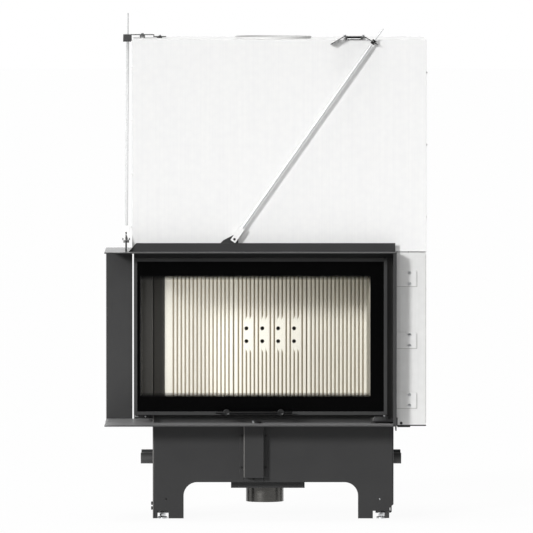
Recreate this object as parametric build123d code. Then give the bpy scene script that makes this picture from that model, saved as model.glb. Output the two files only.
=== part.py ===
from build123d import *
import math
import os

# Corner fireplace insert. The front and the left side are glass, joined at the corner, and the whole
# L-shaped door lifts into the pale housing above the firebox. Two cables and counterweights balance it.
# The front leaf also swings out for cleaning. Millimetres, +Z up, +X right, the front looks to -Y.
# The origin is on the floor, under the middle of the outline.

# ---- main sizes: the places further down follow from these ---------------------------------------
DOOR_WIDTH = 836.0        # front leaf, frame included
DOOR_HEIGHT = 518.0
DEPTH = 560.0             # from the ledges to the rear cover
HOUSING_TOP = 1587.0      # height of the body

# ---- outline -------------------------------------------------------------------------------------
FRONT = -280.0            # front edge of both ledges
BACK = FRONT + DEPTH      # outer face of the rear cover
LEFT = -532.0             # left edge of both ledges
LEAF_LEFT = LEFT + 96.0
LEAF_RIGHT = LEAF_LEFT + DOOR_WIDTH
LEAF_BOTTOM = 348.0
LEAF_TOP = LEAF_BOTTOM + DOOR_HEIGHT
RIGHT = LEAF_RIGHT + 128.0            # outer face of the right cover
HOUSING_LEFT = LEAF_LEFT - 5.0        # outer face of the left cover
COVER_FRONT = FRONT + 75.0
COVER_SHEET = 1.5

# ---- base ----------------------------------------------------------------------------------------
SHEET = 3.0               # wall of the welded steel parts
BASE_LEFT = LEAF_LEFT + 61.5
BASE_RIGHT = LEAF_RIGHT + 22.0
BASE_FRONT = FRONT + 153.0
BASE_BACK = BACK - 70.0
BASE_TOP = 315.0
BEND_RADIUS = 5.0
BASE_RETURN = 25.0        # depth of the bent edges of the front and rear plates
LEG_CLEARANCE = 2.0       # gap below the legs, the pads carry the weight
ARCH_LEFT = BASE_LEFT + 102.0
ARCH_RIGHT = BASE_RIGHT - 117.5
ARCH_TOP = 122.0
ARCH_RADIUS = 45.0
SIDE_LEG_LENGTH = 95.0
NOTCH_LEFT_WIDTH = 52.0
NOTCH_RIGHT_WIDTH = 68.5
NOTCH_HEIGHT = 27.0
CORNER_CUT = (12.5, 37.5, 49.0)       # width, inner height and outer height of the cut right corner
TOE_WIDTH = 16.0          # short flange at the foot of the left side plate
REAR_ARCH_EXTRA = 12.0    # the arch of the rear plate is wider by this at both ends
SIGHT_HOLE_RADIUS = 3.0
SIGHT_HOLES = ((BASE_LEFT + 44.5, 66.0), (BASE_RIGHT - 46.0, 66.0))

# ---- levelling feet ------------------------------------------------------------------------------
FOOT_LEFT_X = BASE_LEFT + 32.5
FOOT_RIGHT_X = BASE_RIGHT - 40.0
FOOT_INSET = 40.0         # from the outside of the front and rear plates
PAD_RADIUS = 17.0
PAD_HEIGHT = 6.0
FOOT_BOLT_RADIUS = 5.0
FOOT_BOLT_TOP = 52.0
BOLT_FIT = 0.05           # radial clearance of pins and bolts that turn or slide
LOCKNUT = (8.0, 16.0)     # lower and upper face of the locknut
LOCKNUT_WIDTH = 17.0
BRACKET_BOTTOM = 20.0
BRACKET_THICK = 4.0
BRACKET_LENGTH = 50.0
BRACKET_BOLTS = (34.0, 50.0)
BRACKET_ABOVE = 12.0      # height of the angle above its upper bolt
BRACKET_HEAD_RADIUS = 5.5
BRACKET_HEAD_HEIGHT = 9.0             # with its washer
BRACKET_NUT_HEIGHT = 4.5
BRACKET_WEB = (14.0, 30.0)            # near and far edge of the right angles' webs, from the base's edge
BRACKET_SHANK_RADIUS = 3.9
BRACKET_BORE_RADIUS = 4.1

# ---- carrying stubs and air inlet ----------------------------------------------------------------
STUB_RADIUS = 18.0
STUB_WALL = 3.0
STUB_HEIGHT = 197.0
STUB_DEPTHS = (BASE_FRONT + 78.0, BASE_BACK - 79.0)
STUB_LEFT_END = BASE_LEFT - 40.5
STUB_RIGHT_END = BASE_RIGHT + 26.0
AIR_BOX_X = (-116.0, 128.0)
AIR_BOX_Y = (BASE_FRONT + 47.0, BASE_BACK - 90.0)
AIR_BOX_BOTTOM = 100.0
AIR_BOX_SHEET = 2.0
SPIGOT_RADIUS = 62.5
SPIGOT_WALL = 2.0
SPIGOT_BOTTOM = 50.0
SPIGOT_X = -4.0
SPIGOT_Y = BASE_FRONT + 147.0
SPIGOT_FLANGE = 1.5       # thickness of its flange
SPIGOT_FLANGE_WIDTH = 15.0

# ---- duct cover, air lever and air slide ---------------------------------------------------------
COVER_X = (-73.0, -8.0)
COVER_Z = (139.0, 311.0)
COVER_DEPTH = 35.0
COVER_WALL = 1.5
COVER_FLANGE = 15.0
DUCT_SCREW_HEIGHTS = (276.0, 171.0)
LEVER_X = -43.0
LEVER_PIVOT_Z = 240.0
LEVER_PIVOT_RADIUS = 4.0
LEVER_TOP = 327.0
LEVER_FRONT = BASE_FRONT - 23.0
LEVER_THICK = 3.0
LEVER_WIDTH = 7.0
PEG_DROP = 60.0           # from the pivot down to the peg, also the coupling radius
PEG_RADIUS = 3.0
PEG_SLOT_CLEARANCE = 0.35
LEVER_SWEEP = 27.0        # travel of the lever in the slot of the ledge
SLIDE_TRAVEL = 17.0
AIR_SLOT_X = (LEVER_X - 17.5, LEVER_X + 15.5)   # middles of the two air slots
AIR_SLOT = (15.0, 18.0)   # width and height
AIR_SLOT_Z = 156.0
SLIDE_X = (LEVER_X - 50.0, LEVER_X + 47.0)
SLIDE_Z = (141.0, 196.0)
SLIDE_THICK = 2.5
SLIDE_GAP = 0.3

# ---- ledges, sill and frame plates ---------------------------------------------------------------
LEDGE_THICK = 4.0
LEDGE_DEPTH = 160.0
LEDGE_RIGHT = LEAF_RIGHT + 26.0
LEDGE_INNER_X = BASE_LEFT + 3.5
SIDE_BACK = BASE_BACK - 99.0          # rear end of the glazed side
LEDGE_TOP = BASE_TOP + LEDGE_THICK
SILL_TOP = LEAF_BOTTOM + 5.0
SEAL_LIP_TOP = SILL_TOP + 13.0
SILL_BEND = 7.0
UPPER_LEDGE = LEAF_TOP + 19.0
UPPER_LEDGE_DEPTH = 88.0
UPPER_LEDGE_INNER_X = LEAF_LEFT - 2.0
HOOD_FRONT = FRONT + 50.0
HOOD_TOP = UPPER_LEDGE + 33.0
HOOD_BOTTOM_LEFT = LEAF_LEFT - 17.0
HOOD_TOP_LEFT = LEAF_LEFT + 9.0
WING_INNER_X = LEAF_LEFT - 8.8
FRAME_PLATE_BOTTOM = 301.0
FRAME_LIP_LEFT = LEAF_RIGHT + 19.0
FRAME_LIP_DEPTH = 4.0
STOP_TAB = (4.0, 15.0, 24.0)          # width, depth and height of the tab beside the lower cover
DUCT_FLOOR_TOP = BASE_TOP + 2.0
DUCT_APRON = (3.0, 43.0, 4.0)         # start and width from the frame plate, and drop, of its front edge

# ---- firebox -------------------------------------------------------------------------------------
JAMB_FRONT = FRONT + 123.0
JAMB_LEFT = LEAF_RIGHT - 54.0
SIDE_SEAL_X = LEAF_LEFT + 23.0        # outer face of the left lintel and seal lip
SIDE_JAMB = 14.0          # width of the upright seal face at the rear end of the side glass
FIREBOX_TOP = LEAF_TOP + 14.0
LINTEL_BOTTOM = LEAF_TOP - 13.0
BACK_WALL_THICK = 4.0
POST_LEFT = BASE_LEFT - 6.5
POST_RIGHT = BASE_LEFT + 33.5
POST_BEND = 8.0
LINING_FACE = BASE_BACK - 30.0
POST_FRONT = LINING_FACE - 8.0
LINING_THICK = 26.0
LINING_TOP = FIREBOX_TOP - 80.0
LINING_LEFT = POST_RIGHT + 3.0
RIGHT_LINING_BACK_X = BASE_RIGHT - 87.0
RIGHT_LINING_SPLAY = 7.0
RIGHT_LINING_THICK = 40.0
LEFT_PANEL = 230.0        # widths of two of the rear panels, the third fills the rest
MIDDLE_PANEL = 243.0
PANEL_FIRST_GROOVE = (28.9, 16.0, 15.0)
PANEL_JOINT = 0.6
GROOVE_PITCH = 13.3
GROOVE_WIDTH = 7.6
GROOVE_FLOOR = 3.6
GROOVE_DEPTH = 8.5
GROOVE_RUN_OUT = 20.0     # length over which a groove gets shallow at the air holes
HOLE_RADIUS = 5.75
HOLE_FIRST_X = -65.2
HOLE_PITCH = 53.0
HOLE_COLUMNS = range(4)
HOLE_ROWS = (573.0, 616.0)
PAD_Z = (552.0, 641.0)    # the grooves stop here round the air holes
FLOOR_LINING_TOP = SILL_TOP - 7.0
FLOOR_JOINT = 2.0         # gap of the floor slab to the sill band
BAFFLE_THICK = 28.0
BAFFLE_FRONT_GAP = 90.0
ROOF_THICK = 3.0
DOME_TOP = FIREBOX_TOP + 160.0
FLUE_RADIUS = 100.0
FLUE_WALL = 3.0
FLUE_X = BASE_RIGHT - 398.0
FLUE_Y = BASE_BACK - 165.0
FLUE_TOP = DOME_TOP + 140.0
DOME_TOP_HALF = (118.0, 104.0)
DOME_INSET = 6.0

# ---- door ----------------------------------------------------------------------------------------
LEAF_FRONT = FRONT + 95.0
LEAF_THICK = 25.0
BORDER = 11.0             # width of the frame round the glass
FRAME_WALL = 6.0
LIP = 4.0                 # front lip that the glass lies against
GLASS = 4.0
SIDE_THICK = 20.0
SIDE_GAP = 0.3            # between the back of the leaf and the side frame
SIDE_FRAME_BACK = SIDE_BACK - 6.0
HINGE_X = LEAF_RIGHT - 8.0
HINGE_Y = FRONT + 104.0
HINGE_RADIUS = 4.0
HINGE_BITE = 5.5
SEAL_THICK = 2.6
SEAL_WIDTH = 12.0
CARRIER_BOTTOM = LEAF_TOP + 1.0
CARRIER_TOP = LEAF_TOP + 16.0
CARRIAGE_X = (LEAF_RIGHT + 36.0, LEAF_RIGHT + 44.0)
CARRIAGE_BACK = FRONT + 185.0
HINGE_BRACKET_X = (LEAF_RIGHT - 48.0, LEAF_RIGHT + 3.0)
HINGE_BRACKET_Z = (LEAF_BOTTOM - 22.0, LEAF_BOTTOM - 5.0)
HINGE_ARM_TOP = LEAF_BOTTOM - 14.0
RAIL_BACK = 2.0
RAIL_SHEET = 2.0
RIGHT_RAIL_Y = (FRONT + 145.0, FRONT + 185.0)
RIGHT_RAIL_X = (BASE_RIGHT, BASE_RIGHT + 13.0)
LEFT_RAIL_Y = (SIDE_BACK + 5.0, SIDE_BACK + 39.0)
LEFT_RAIL_X = (LEAF_LEFT - 2.0, LEAF_LEFT + 11.0)
SHOE_GAP = 0.4
SHOE_LENGTH = 35.0
TONGUE_X = (LEAF_LEFT + 12.0, LEAF_LEFT + 18.0)
HANDLE_Z = LEAF_BOTTOM + 10.3
HANDLE_X = (-166.0, 86.5)
HANDLE_Y = FRONT + 66.0
HANDLE_RADIUS = 4.5
KNOBS_X = (-130.0, 49.0)
KNOB_RADIUS = 11.0
STEM_RADIUS = 7.0

# ---- lift ----------------------------------------------------------------------------------------
LIFT = DOOR_HEIGHT - 38.0             # door travel
SHEAVE_Z = HOUSING_TOP - 107.0
CABLE_RADIUS = 2.0
RIGHT_CABLE_X = LEAF_RIGHT + 70.0
RIGHT_SHEAVE_RADIUS = 60.0            # to the middle of the cable
LEFT_CABLE_X = LEAF_LEFT + 26.0
LEFT_SHEAVE_RADIUS = 45.0
RIGHT_LUG_Y = FRONT + 120.0
LEFT_LUG_Y = SIDE_BACK + 29.0
SHEAVE_WIDTH = 12.0
AXLE_RADIUS = 8.0
WEIGHT_TOP = SHEAVE_Z - 75.0
WEIGHT_HEIGHT = LIFT + 35.0
EYE_HEIGHT = 16.0
EYE_RADIUS = 8.0
WEIGHT_EDGE = 4.0         # bevel of the long edges of the weights
RIGHT_WEIGHT = (60.0, 60.0)
LEFT_WEIGHT = (42.0, 60.0)
DUCT_X = (LEAF_LEFT - 3.5, LEAF_LEFT + 51.5)
DUCT_TOP = WEIGHT_TOP + 25.0
DUCT_SLOT_X = (LEAF_LEFT + 7.0, LEAF_LEFT + 24.0)

# ---- top plate and small parts of the housing ----------------------------------------------------
FLUE_GAP = 25.0           # round the collar, in the hole of the top plate
UPSTAND = 7.0
BRACKET_PLATE_X = (LEDGE_RIGHT + LEDGE_THICK, LEDGE_RIGHT + 71.0)
BRACKET_PLATE_Z = (398.5, 596.5, 801.0)
BRACKET_PLATE_HEIGHT = 53.0
BRACKET_PLATE_SCREW_X = LEDGE_RIGHT + 47.0
BRACKET_PLATE_SCREW_PITCH = 36.0
COVER_SCREW_RADIUS = 3.5
COVER_SCREW_HEAD = 2.5
SIDE_SCREW_HEAD = 4.0
SIDE_SCREW_INSET = 15.0   # from the front of the housing
RIGHT_SCREW_PITCH = 192.0
RIGHT_SCREWS = 6
LEFT_SCREW_PITCH = 176.0
LEFT_SCREWS = 4
FIRST_SCREW_DROP = (108.0, 88.0)      # from the top to the first screw, right and left
APRON_SCREW = (20.0, 5.0)             # from the frame plate and from the duct floor

# ---- tie rods ------------------------------------------------------------------------------------
ROD_RADIUS = 5.0
ROD_THREAD_RADIUS = 3.0
ROD_THREAD_BELOW = 8.0    # length of the thread under the lower nut
ROD_HOLE = 0.4            # radial clearance in the bracket
ROD_BOLT_Z = UPPER_LEDGE + 46.0
FRONT_BOLT_X = -104.0
FRONT_ROD_Y = FRONT + 55.5
FRONT_ROD_TOP = (LEAF_RIGHT - 15.0, HOUSING_TOP + 38.0)        # x and z of the upper end
SIDE_ROD_X = LEAF_LEFT - 24.5
SIDE_BOLT_Y = FRONT + 60.0
SIDE_ROD_TOP = (SIDE_BACK + 94.0, HOUSING_TOP + 79.0)          # y and z of the upper end
ROD_BRACKET_WIDTH = 27.0
ROD_BRACKET_SHEET = 2.5
ROD_BRACKET_TOP = HOUSING_TOP + 12.0
ROD_BRACKET_FLAT = 69.0
FRONT_LEG = (43.5, 26.0)  # run and drop of each sloping leg
SIDE_LEG = (40.0, 21.0)
FRONT_BRACKET_X = LEAF_RIGHT - 110.0
SIDE_BRACKET_Y = SIDE_BACK - 8.5
TAB_LENGTH = 73.0
TAB_END_LENGTH = 42.0
TAB_STEP = 6.0
FRONT_TAB_BOLTS = ((-30.0, 20.0), (30.0, 20.0))                # along the legs and from the edge
SIDE_TAB_BOLTS = ((0.0, 36.0), (0.0, 94.0))
TAB_BOLT_WIDTH = 9.0
TAB_BOLT_HEAD = 4.0
TAB_SPACER_RADIUS = 5.0
ROD_NUT_WIDTH = 13.0
ROD_NUT_HEIGHT = 6.0
CLEVIS_WIDTH = 19.0
CLEVIS_LENGTH = 46.0
CLEVIS_SLOT = 22.0
CLEVIS_ROD_BITE = 3.0
CLEVIS_EDGE = 2.0
PIN_RADIUS = 4.0
PIN_HEAD = 3.0            # reach of the pin beyond the fork
LUG_THICK = 5.0
LUG_HEIGHT = 55.0
LUG_FOOT = (-45.0, 13.0)  # ends of the lug's foot, from its bolt
LUG_SHOULDER = 30.0       # height of the lug at the end away from the rod
LUG_CORNER = 8.0


# ---- shapes used throughout ----------------------------------------------------------------------


def block(x, y, z):
    """Box between the two ends given on each axis."""
    return Pos(x[0], y[0], z[0]) * Box(x[1] - x[0], y[1] - y[0], z[1] - z[0], align=(Align.MIN,) * 3)


def rod(start, end, radius):
    """Round bar between two points."""
    along = Vector(*end) - Vector(*start)
    ends = (Align.CENTER, Align.CENTER, Align.MIN)
    return Plane(origin=start, z_dir=along) * Cylinder(radius, along.length, align=ends)


def tube(start, end, radius, wall):
    """Round tube between two points."""
    return rod(start, end, radius) - rod(start, end, radius - wall)


def nut(start, end, width):
    """Hexagon nut or head between two points, as wide across its flats as given."""
    along = Vector(*end) - Vector(*start)
    face = Plane(origin=start, z_dir=along) * RegularPolygon(width / 2, 6, major_radius=False)
    return extrude(face, along.length, dir=along.normalized())


def plan_plate(points, bottom, thick):
    """Flat plate that lies level, from its outline in plan."""
    return extrude(Pos(0, 0, bottom) * Polygon(*points, align=None), thick, dir=(0, 0, 1))


def front_plate(points, front, thick):
    """Upright plate across the view, from its outline in x and z."""
    plane = Plane(origin=(0, front, 0), x_dir=(1, 0, 0), z_dir=(0, -1, 0))
    return extrude(plane * Polygon(*points, align=None), thick, dir=(0, 1, 0))


def side_plate(points, left, thick):
    """Upright plate along the depth, from its outline in y and z."""
    plane = Plane(origin=(left, 0, 0), x_dir=(0, 1, 0), z_dir=(1, 0, 0))
    return extrude(plane * Polygon(*points, align=None), thick, dir=(1, 0, 0))


def bent_strip(points, thick, bend):
    """Flat face of a bent sheet: its outer line, with the wall on the left of the way it runs."""
    line = FilletPolyline(*points, radius=bend)
    return make_face(offset(line, amount=thick, side=Side.LEFT))


def plan_sheet(points, thick, bend, z):
    """Bent sheet with upright walls, from its outer line in plan."""
    return extrude(Pos(0, 0, z[0]) * bent_strip(points, thick, bend), z[1] - z[0], dir=(0, 0, 1))


def ring(x, z, y, border):
    """Upright rectangular frame across the view."""
    inner = block((x[0] + border, x[1] - border), y, (z[0] + border, z[1] - border))
    return block(x, y, z) - inner


def side_ring(y, z, x, border):
    """Upright rectangular frame along the depth."""
    inner = block(x, (y[0] + border, y[1] - border), (z[0] + border, z[1] - border))
    return block(x, y, z) - inner


# ---- base ----------------------------------------------------------------------------------------


def arched_plate(extra=0.0):
    """Plate of the base: bent edges, an arch between the legs and cut outer corners."""
    returned = BASE_FRONT + BASE_RETURN
    line = [(BASE_LEFT, returned), (BASE_LEFT, BASE_FRONT), (BASE_RIGHT, BASE_FRONT), (BASE_RIGHT, returned)]
    plate = plan_sheet(line, SHEET, BEND_RADIUS, (LEG_CLEARANCE, BASE_TOP))
    middle = Plane(origin=((ARCH_LEFT + ARCH_RIGHT) / 2, BASE_FRONT, 0), x_dir=(1, 0, 0), z_dir=(0, -1, 0))
    arch = middle * RectangleRounded(ARCH_RIGHT - ARCH_LEFT + 2 * extra, 2 * ARCH_TOP, ARCH_RADIUS)
    plate -= extrude(arch, SHEET, dir=(0, 1, 0))
    depth = (BASE_FRONT, returned)
    plate -= block((BASE_LEFT, BASE_LEFT + NOTCH_LEFT_WIDTH), depth, (0, NOTCH_HEIGHT))
    inner = BASE_RIGHT - CORNER_CUT[0]
    notch = BASE_RIGHT - NOTCH_RIGHT_WIDTH
    corner = [(notch, 0), (notch, NOTCH_HEIGHT), (inner, NOTCH_HEIGHT), (inner, CORNER_CUT[1])]
    corner += [(BASE_RIGHT, CORNER_CUT[2]), (BASE_RIGHT, 0)]
    plate -= front_plate(corner, BASE_FRONT, BASE_RETURN)
    for x, z in SIGHT_HOLES:
        plate -= rod((x, BASE_FRONT, z), (x, BASE_FRONT + SHEET, z), SIGHT_HOLE_RADIUS)
    return plate


def air_slot(x, depth):
    """Cutter of one air slot, the same in the base plate and in the slide behind it."""
    half, rise = AIR_SLOT[0] / 2, AIR_SLOT[1] / 2
    return block((x - half, x + half), depth, (AIR_SLOT_Z - rise, AIR_SLOT_Z + rise))


def base_front_plate():
    """The arched plate with the air slots, the pivot stud of the lever and the guides of the slide."""
    inner = BASE_FRONT + SHEET
    plate = arched_plate()
    for x in AIR_SLOT_X:
        plate -= air_slot(x, (BASE_FRONT, inner))
    peg_z = LEVER_PIVOT_Z - PEG_DROP
    reach = PEG_RADIUS + 2 * PEG_SLOT_CLEARANCE
    slot_x = (LEVER_X - SLIDE_TRAVEL - reach, LEVER_X + reach)
    plate -= block(slot_x, (BASE_FRONT, inner), (peg_z - reach, peg_z + reach + PEG_RADIUS))
    stud_end = LEVER_FRONT - COVER_WALL
    plate += rod((LEVER_X, inner, LEVER_PIVOT_Z), (LEVER_X, stud_end, LEVER_PIVOT_Z), LEVER_PIVOT_RADIUS)
    behind = inner + SLIDE_THICK + 2 * SLIDE_GAP
    guide_x = (SLIDE_X[0], SLIDE_X[1])
    for edge, way in ((SLIDE_Z[0] - SLIDE_GAP, -1), (SLIDE_Z[1] + SLIDE_GAP, 1)):
        web = sorted((edge, edge + way * SHEET))
        lap = sorted((edge - way * SHEET, edge + way * SHEET))
        plate += block(guide_x, (inner, behind), web)
        plate += block(guide_x, (behind, behind + COVER_WALL), lap)
    return plate


def base_rear_plate():
    """A like plate at the back, facing the other way, with a wider arch."""
    middle = (BASE_FRONT + BASE_BACK) / 2
    return mirror(arched_plate(REAR_ARCH_EXTRA), about=Plane(origin=(0, middle, 0), z_dir=(0, 1, 0)))


def side_sheets():
    """For each side plate of the base: its left face, its lower edge, and the two ends of its stubs."""
    left = (BASE_LEFT + SHEET, LEG_CLEARANCE, (STUB_LEFT_END, BASE_LEFT + SHEET))
    right = (BASE_RIGHT - 2 * SHEET, CORNER_CUT[2], (BASE_RIGHT - SHEET, STUB_RIGHT_END))
    return left, right


def base_side_plates():
    """Left and right plate between the bent edges, arched like the front, open for the carrying bars."""
    depth = (BASE_FRONT + BEND_RADIUS, BASE_BACK - BEND_RADIUS)
    arch = (BASE_BACK - BASE_FRONT - 2 * SIDE_LEG_LENGTH, 2 * ARCH_TOP, ARCH_RADIUS)
    plates = []
    for left, bottom, _ in side_sheets():
        plate = block((left, left + SHEET), depth, (bottom, BASE_TOP))
        middle = Plane(origin=(left, (BASE_FRONT + BASE_BACK) / 2, 0), x_dir=(0, 1, 0), z_dir=(1, 0, 0))
        plate -= extrude(middle * RectangleRounded(*arch), SHEET, dir=(1, 0, 0))
        for y in STUB_DEPTHS:
            plate -= rod((left, y, STUB_HEIGHT), (left + SHEET, y, STUB_HEIGHT), STUB_RADIUS - STUB_WALL)
        for y in foot_depths():
            for z in bracket_bolt_heights(left):
                plate -= rod((left, y, z), (left + SHEET, y, z), BRACKET_BORE_RADIUS)
        if bottom < NOTCH_HEIGHT:
            toe_x = (BASE_LEFT, BASE_LEFT + TOE_WIDTH)
            plate += block(toe_x, (depth[0], depth[0] + SHEET), (bottom, NOTCH_HEIGHT))
        plates.append(plate)
    return plates


def carrying_stubs():
    """Four short tubes on the side plates, for bars to carry the insert by."""
    return [tube((start, y, STUB_HEIGHT), (end, y, STUB_HEIGHT), STUB_RADIUS, STUB_WALL)
            for _, _, (start, end) in side_sheets() for y in STUB_DEPTHS]


def foot_depths():
    """Front and rear row of the levelling feet."""
    return (BASE_FRONT + FOOT_INSET, BASE_BACK - FOOT_INSET)


def bracket_bolt_heights(left):
    """Heights of a bracket's bolts: the right side plate stops higher up."""
    raised = CORNER_CUT[2] - BRACKET_BOTTOM if left > 0 else 0.0
    return [z + raised for z in BRACKET_BOLTS]


def foot_bracket(foot_x, y, wall_x, way):
    """Angle on the inside of a side plate that carries one levelling bolt."""
    heights = bracket_bolt_heights(-way)
    top = heights[1] + BRACKET_ABOVE
    far = foot_x + way * (PAD_RADIUS + LEG_CLEARANCE)
    line = [(wall_x, top), (wall_x, BRACKET_BOTTOM), (far, BRACKET_BOTTOM)]
    if way < 0:
        line.reverse()
    plane = Plane(origin=(0, y - BRACKET_LENGTH / 2, 0), x_dir=(1, 0, 0), z_dir=(0, -1, 0))
    angle = extrude(plane * bent_strip(line, BRACKET_THICK, BEND_RADIUS), BRACKET_LENGTH, dir=(0, 1, 0))
    above = BRACKET_BOTTOM + BRACKET_THICK
    angle -= rod((foot_x, y, BRACKET_BOTTOM), (foot_x, y, above), FOOT_BOLT_RADIUS + BOLT_FIT)
    if way < 0:
        web_x = (BASE_RIGHT - BRACKET_WEB[1], BASE_RIGHT - BRACKET_WEB[0])
        start = y - BRACKET_LENGTH / 2
        angle += block(web_x, (start, start + BRACKET_THICK), (LEG_CLEARANCE, BRACKET_BOTTOM))
    for z in heights:
        angle -= rod((wall_x, y, z), (wall_x + way * BRACKET_THICK, y, z), BRACKET_BORE_RADIUS)
    return angle


def foot_brackets():
    """The four angles in the corners of the base."""
    angles = []
    for y in foot_depths():
        angles.append(foot_bracket(FOOT_LEFT_X, y, BASE_LEFT + 2 * SHEET, 1))
        angles.append(foot_bracket(FOOT_RIGHT_X, y, BASE_RIGHT - 2 * SHEET, -1))
    return angles


def base_bolts():
    """Bolts of the foot brackets: head outside the side plate, nut inside the angle."""
    bolts = []
    width = 2 * BRACKET_HEAD_RADIUS
    for y in foot_depths():
        for face, way in ((BASE_LEFT + SHEET, 1), (BASE_RIGHT - SHEET, -1)):
            for z in bracket_bolt_heights(-way):
                inside = face + way * (SHEET + BRACKET_THICK)
                end = inside + way * BRACKET_NUT_HEIGHT
                bolt = nut((face - way * BRACKET_HEAD_HEIGHT, y, z), (face, y, z), width)
                bolt += rod((face, y, z), (end, y, z), BRACKET_SHANK_RADIUS)
                bolts.append(bolt + nut((inside, y, z), (end, y, z), width))
    return bolts


def levelling_foot(x, y):
    """Pad, bolt and locknut of one foot."""
    pad = rod((x, y, 0), (x, y, PAD_HEIGHT), PAD_RADIUS)
    pad = chamfer(pad.edges().group_by(Axis.Z)[-1], PAD_HEIGHT / 3)
    bolt = rod((x, y, PAD_HEIGHT), (x, y, FOOT_BOLT_TOP), FOOT_BOLT_RADIUS)
    return pad + bolt + nut((x, y, LOCKNUT[0]), (x, y, LOCKNUT[1]), LOCKNUT_WIDTH)


def air_box():
    """Open-topped sheet box under the firebox floor that takes the outside air."""
    inner_x = (AIR_BOX_X[0] + AIR_BOX_SHEET, AIR_BOX_X[1] - AIR_BOX_SHEET)
    inner_y = (AIR_BOX_Y[0] + AIR_BOX_SHEET, AIR_BOX_Y[1] - AIR_BOX_SHEET)
    floor = AIR_BOX_BOTTOM + AIR_BOX_SHEET
    shell = block(AIR_BOX_X, AIR_BOX_Y, (AIR_BOX_BOTTOM, BASE_TOP))
    shell -= block(inner_x, inner_y, (floor, BASE_TOP))
    bottom = (SPIGOT_X, SPIGOT_Y, AIR_BOX_BOTTOM)
    return shell - rod(bottom, (SPIGOT_X, SPIGOT_Y, floor), SPIGOT_RADIUS - SPIGOT_WALL)


def air_spigot():
    """Round spigot with its flange under the air box."""
    top = (SPIGOT_X, SPIGOT_Y, AIR_BOX_BOTTOM)
    pipe = tube((SPIGOT_X, SPIGOT_Y, SPIGOT_BOTTOM), top, SPIGOT_RADIUS, SPIGOT_WALL)
    below = (SPIGOT_X, SPIGOT_Y, AIR_BOX_BOTTOM - SPIGOT_FLANGE)
    return pipe + tube(below, top, SPIGOT_RADIUS + SPIGOT_FLANGE_WIDTH, SPIGOT_FLANGE_WIDTH + SPIGOT_WALL)


def air_duct_cover():
    """Pressed cover over the lever: front, two sides and a bottom, with flanges on the base plate."""
    front = BASE_FRONT - COVER_DEPTH
    shell = block(COVER_X, (front, BASE_FRONT), COVER_Z)
    inner_x = (COVER_X[0] + COVER_WALL, COVER_X[1] - COVER_WALL)
    shell -= block(inner_x, (front + COVER_WALL, BASE_FRONT), (COVER_Z[0] + COVER_WALL, COVER_Z[1]))
    flange_x = (COVER_X[0] - COVER_FLANGE, COVER_X[1] + COVER_FLANGE)
    depth = (BASE_FRONT - COVER_WALL, BASE_FRONT)
    flange = block(flange_x, depth, (COVER_Z[0] - COVER_FLANGE, COVER_Z[1]))
    opening = block(inner_x, depth, (COVER_Z[0] + COVER_WALL, COVER_Z[1]))
    for side in (-1, 1):
        corner_x = sorted((flange_x[(side + 1) // 2], COVER_X[(side + 1) // 2] + side * COVER_WALL))
        opening += block(corner_x, depth, (COVER_Z[0] - COVER_FLANGE, COVER_Z[0]))
    return shell + (flange - opening)


def air_lever():
    """Flat lever on its stud: a tapered tip above the ledge and a peg for the slide below."""
    z = LEVER_PIVOT_Z
    half = LEVER_WIDTH / 2
    left = LEVER_X - half
    right = LEVER_X + half
    outline = [(left, z - PEG_DROP - half), (right, z - PEG_DROP - half), (right, LEVER_TOP)]
    outline += [(left, LEVER_TOP), (LEVER_X - half / 2, LEDGE_TOP), (left, BASE_TOP - LEVER_WIDTH)]
    lever = front_plate(outline, LEVER_FRONT, LEVER_THICK)
    pivot = (LEVER_X, LEVER_FRONT, z), (LEVER_X, LEVER_FRONT + LEVER_THICK, z)
    lever += rod(*pivot, LEVER_PIVOT_RADIUS + half)
    lever -= rod(*pivot, LEVER_PIVOT_RADIUS + BOLT_FIT)
    peg_end = BASE_FRONT + SHEET + SLIDE_GAP + SLIDE_THICK
    return lever + rod((LEVER_X, LEVER_FRONT, z - PEG_DROP), (LEVER_X, peg_end, z - PEG_DROP), PEG_RADIUS)


def air_slide():
    """Sliding plate behind the base plate: two air slots and an upright slot for the lever's peg."""
    front = BASE_FRONT + SHEET + SLIDE_GAP
    depth = (front, front + SLIDE_THICK)
    slide = block((SLIDE_X[0] + SLIDE_TRAVEL, SLIDE_X[1]), depth, SLIDE_Z)
    for x in AIR_SLOT_X:
        slide -= air_slot(x, depth)
    peg_z = LEVER_PIVOT_Z - PEG_DROP
    half = PEG_RADIUS + PEG_SLOT_CLEARANCE
    slide -= block((LEVER_X - half, LEVER_X + half), depth, (peg_z - half, peg_z + half + PEG_RADIUS))
    return slide


# ---- ledges, sill and frame plates ---------------------------------------------------------------


def lower_ledge():
    """L-shaped ledge round the front and the glazed side, with the slot of the air lever."""
    back = FRONT + LEDGE_DEPTH
    outline = [(LEFT, FRONT), (LEDGE_RIGHT, FRONT), (LEDGE_RIGHT, back), (LEDGE_INNER_X, back)]
    outline += [(LEDGE_INNER_X, SIDE_BACK), (LEFT, SIDE_BACK)]
    plate = plan_plate(outline, BASE_TOP, LEDGE_THICK)
    gap = LEVER_WIDTH
    slot_y = (LEVER_FRONT - SHEET, LEVER_FRONT + LEVER_THICK + SHEET)
    return plate - block((LEVER_X - gap, LEVER_X + LEVER_SWEEP + gap), slot_y, (BASE_TOP, LEDGE_TOP))


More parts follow.
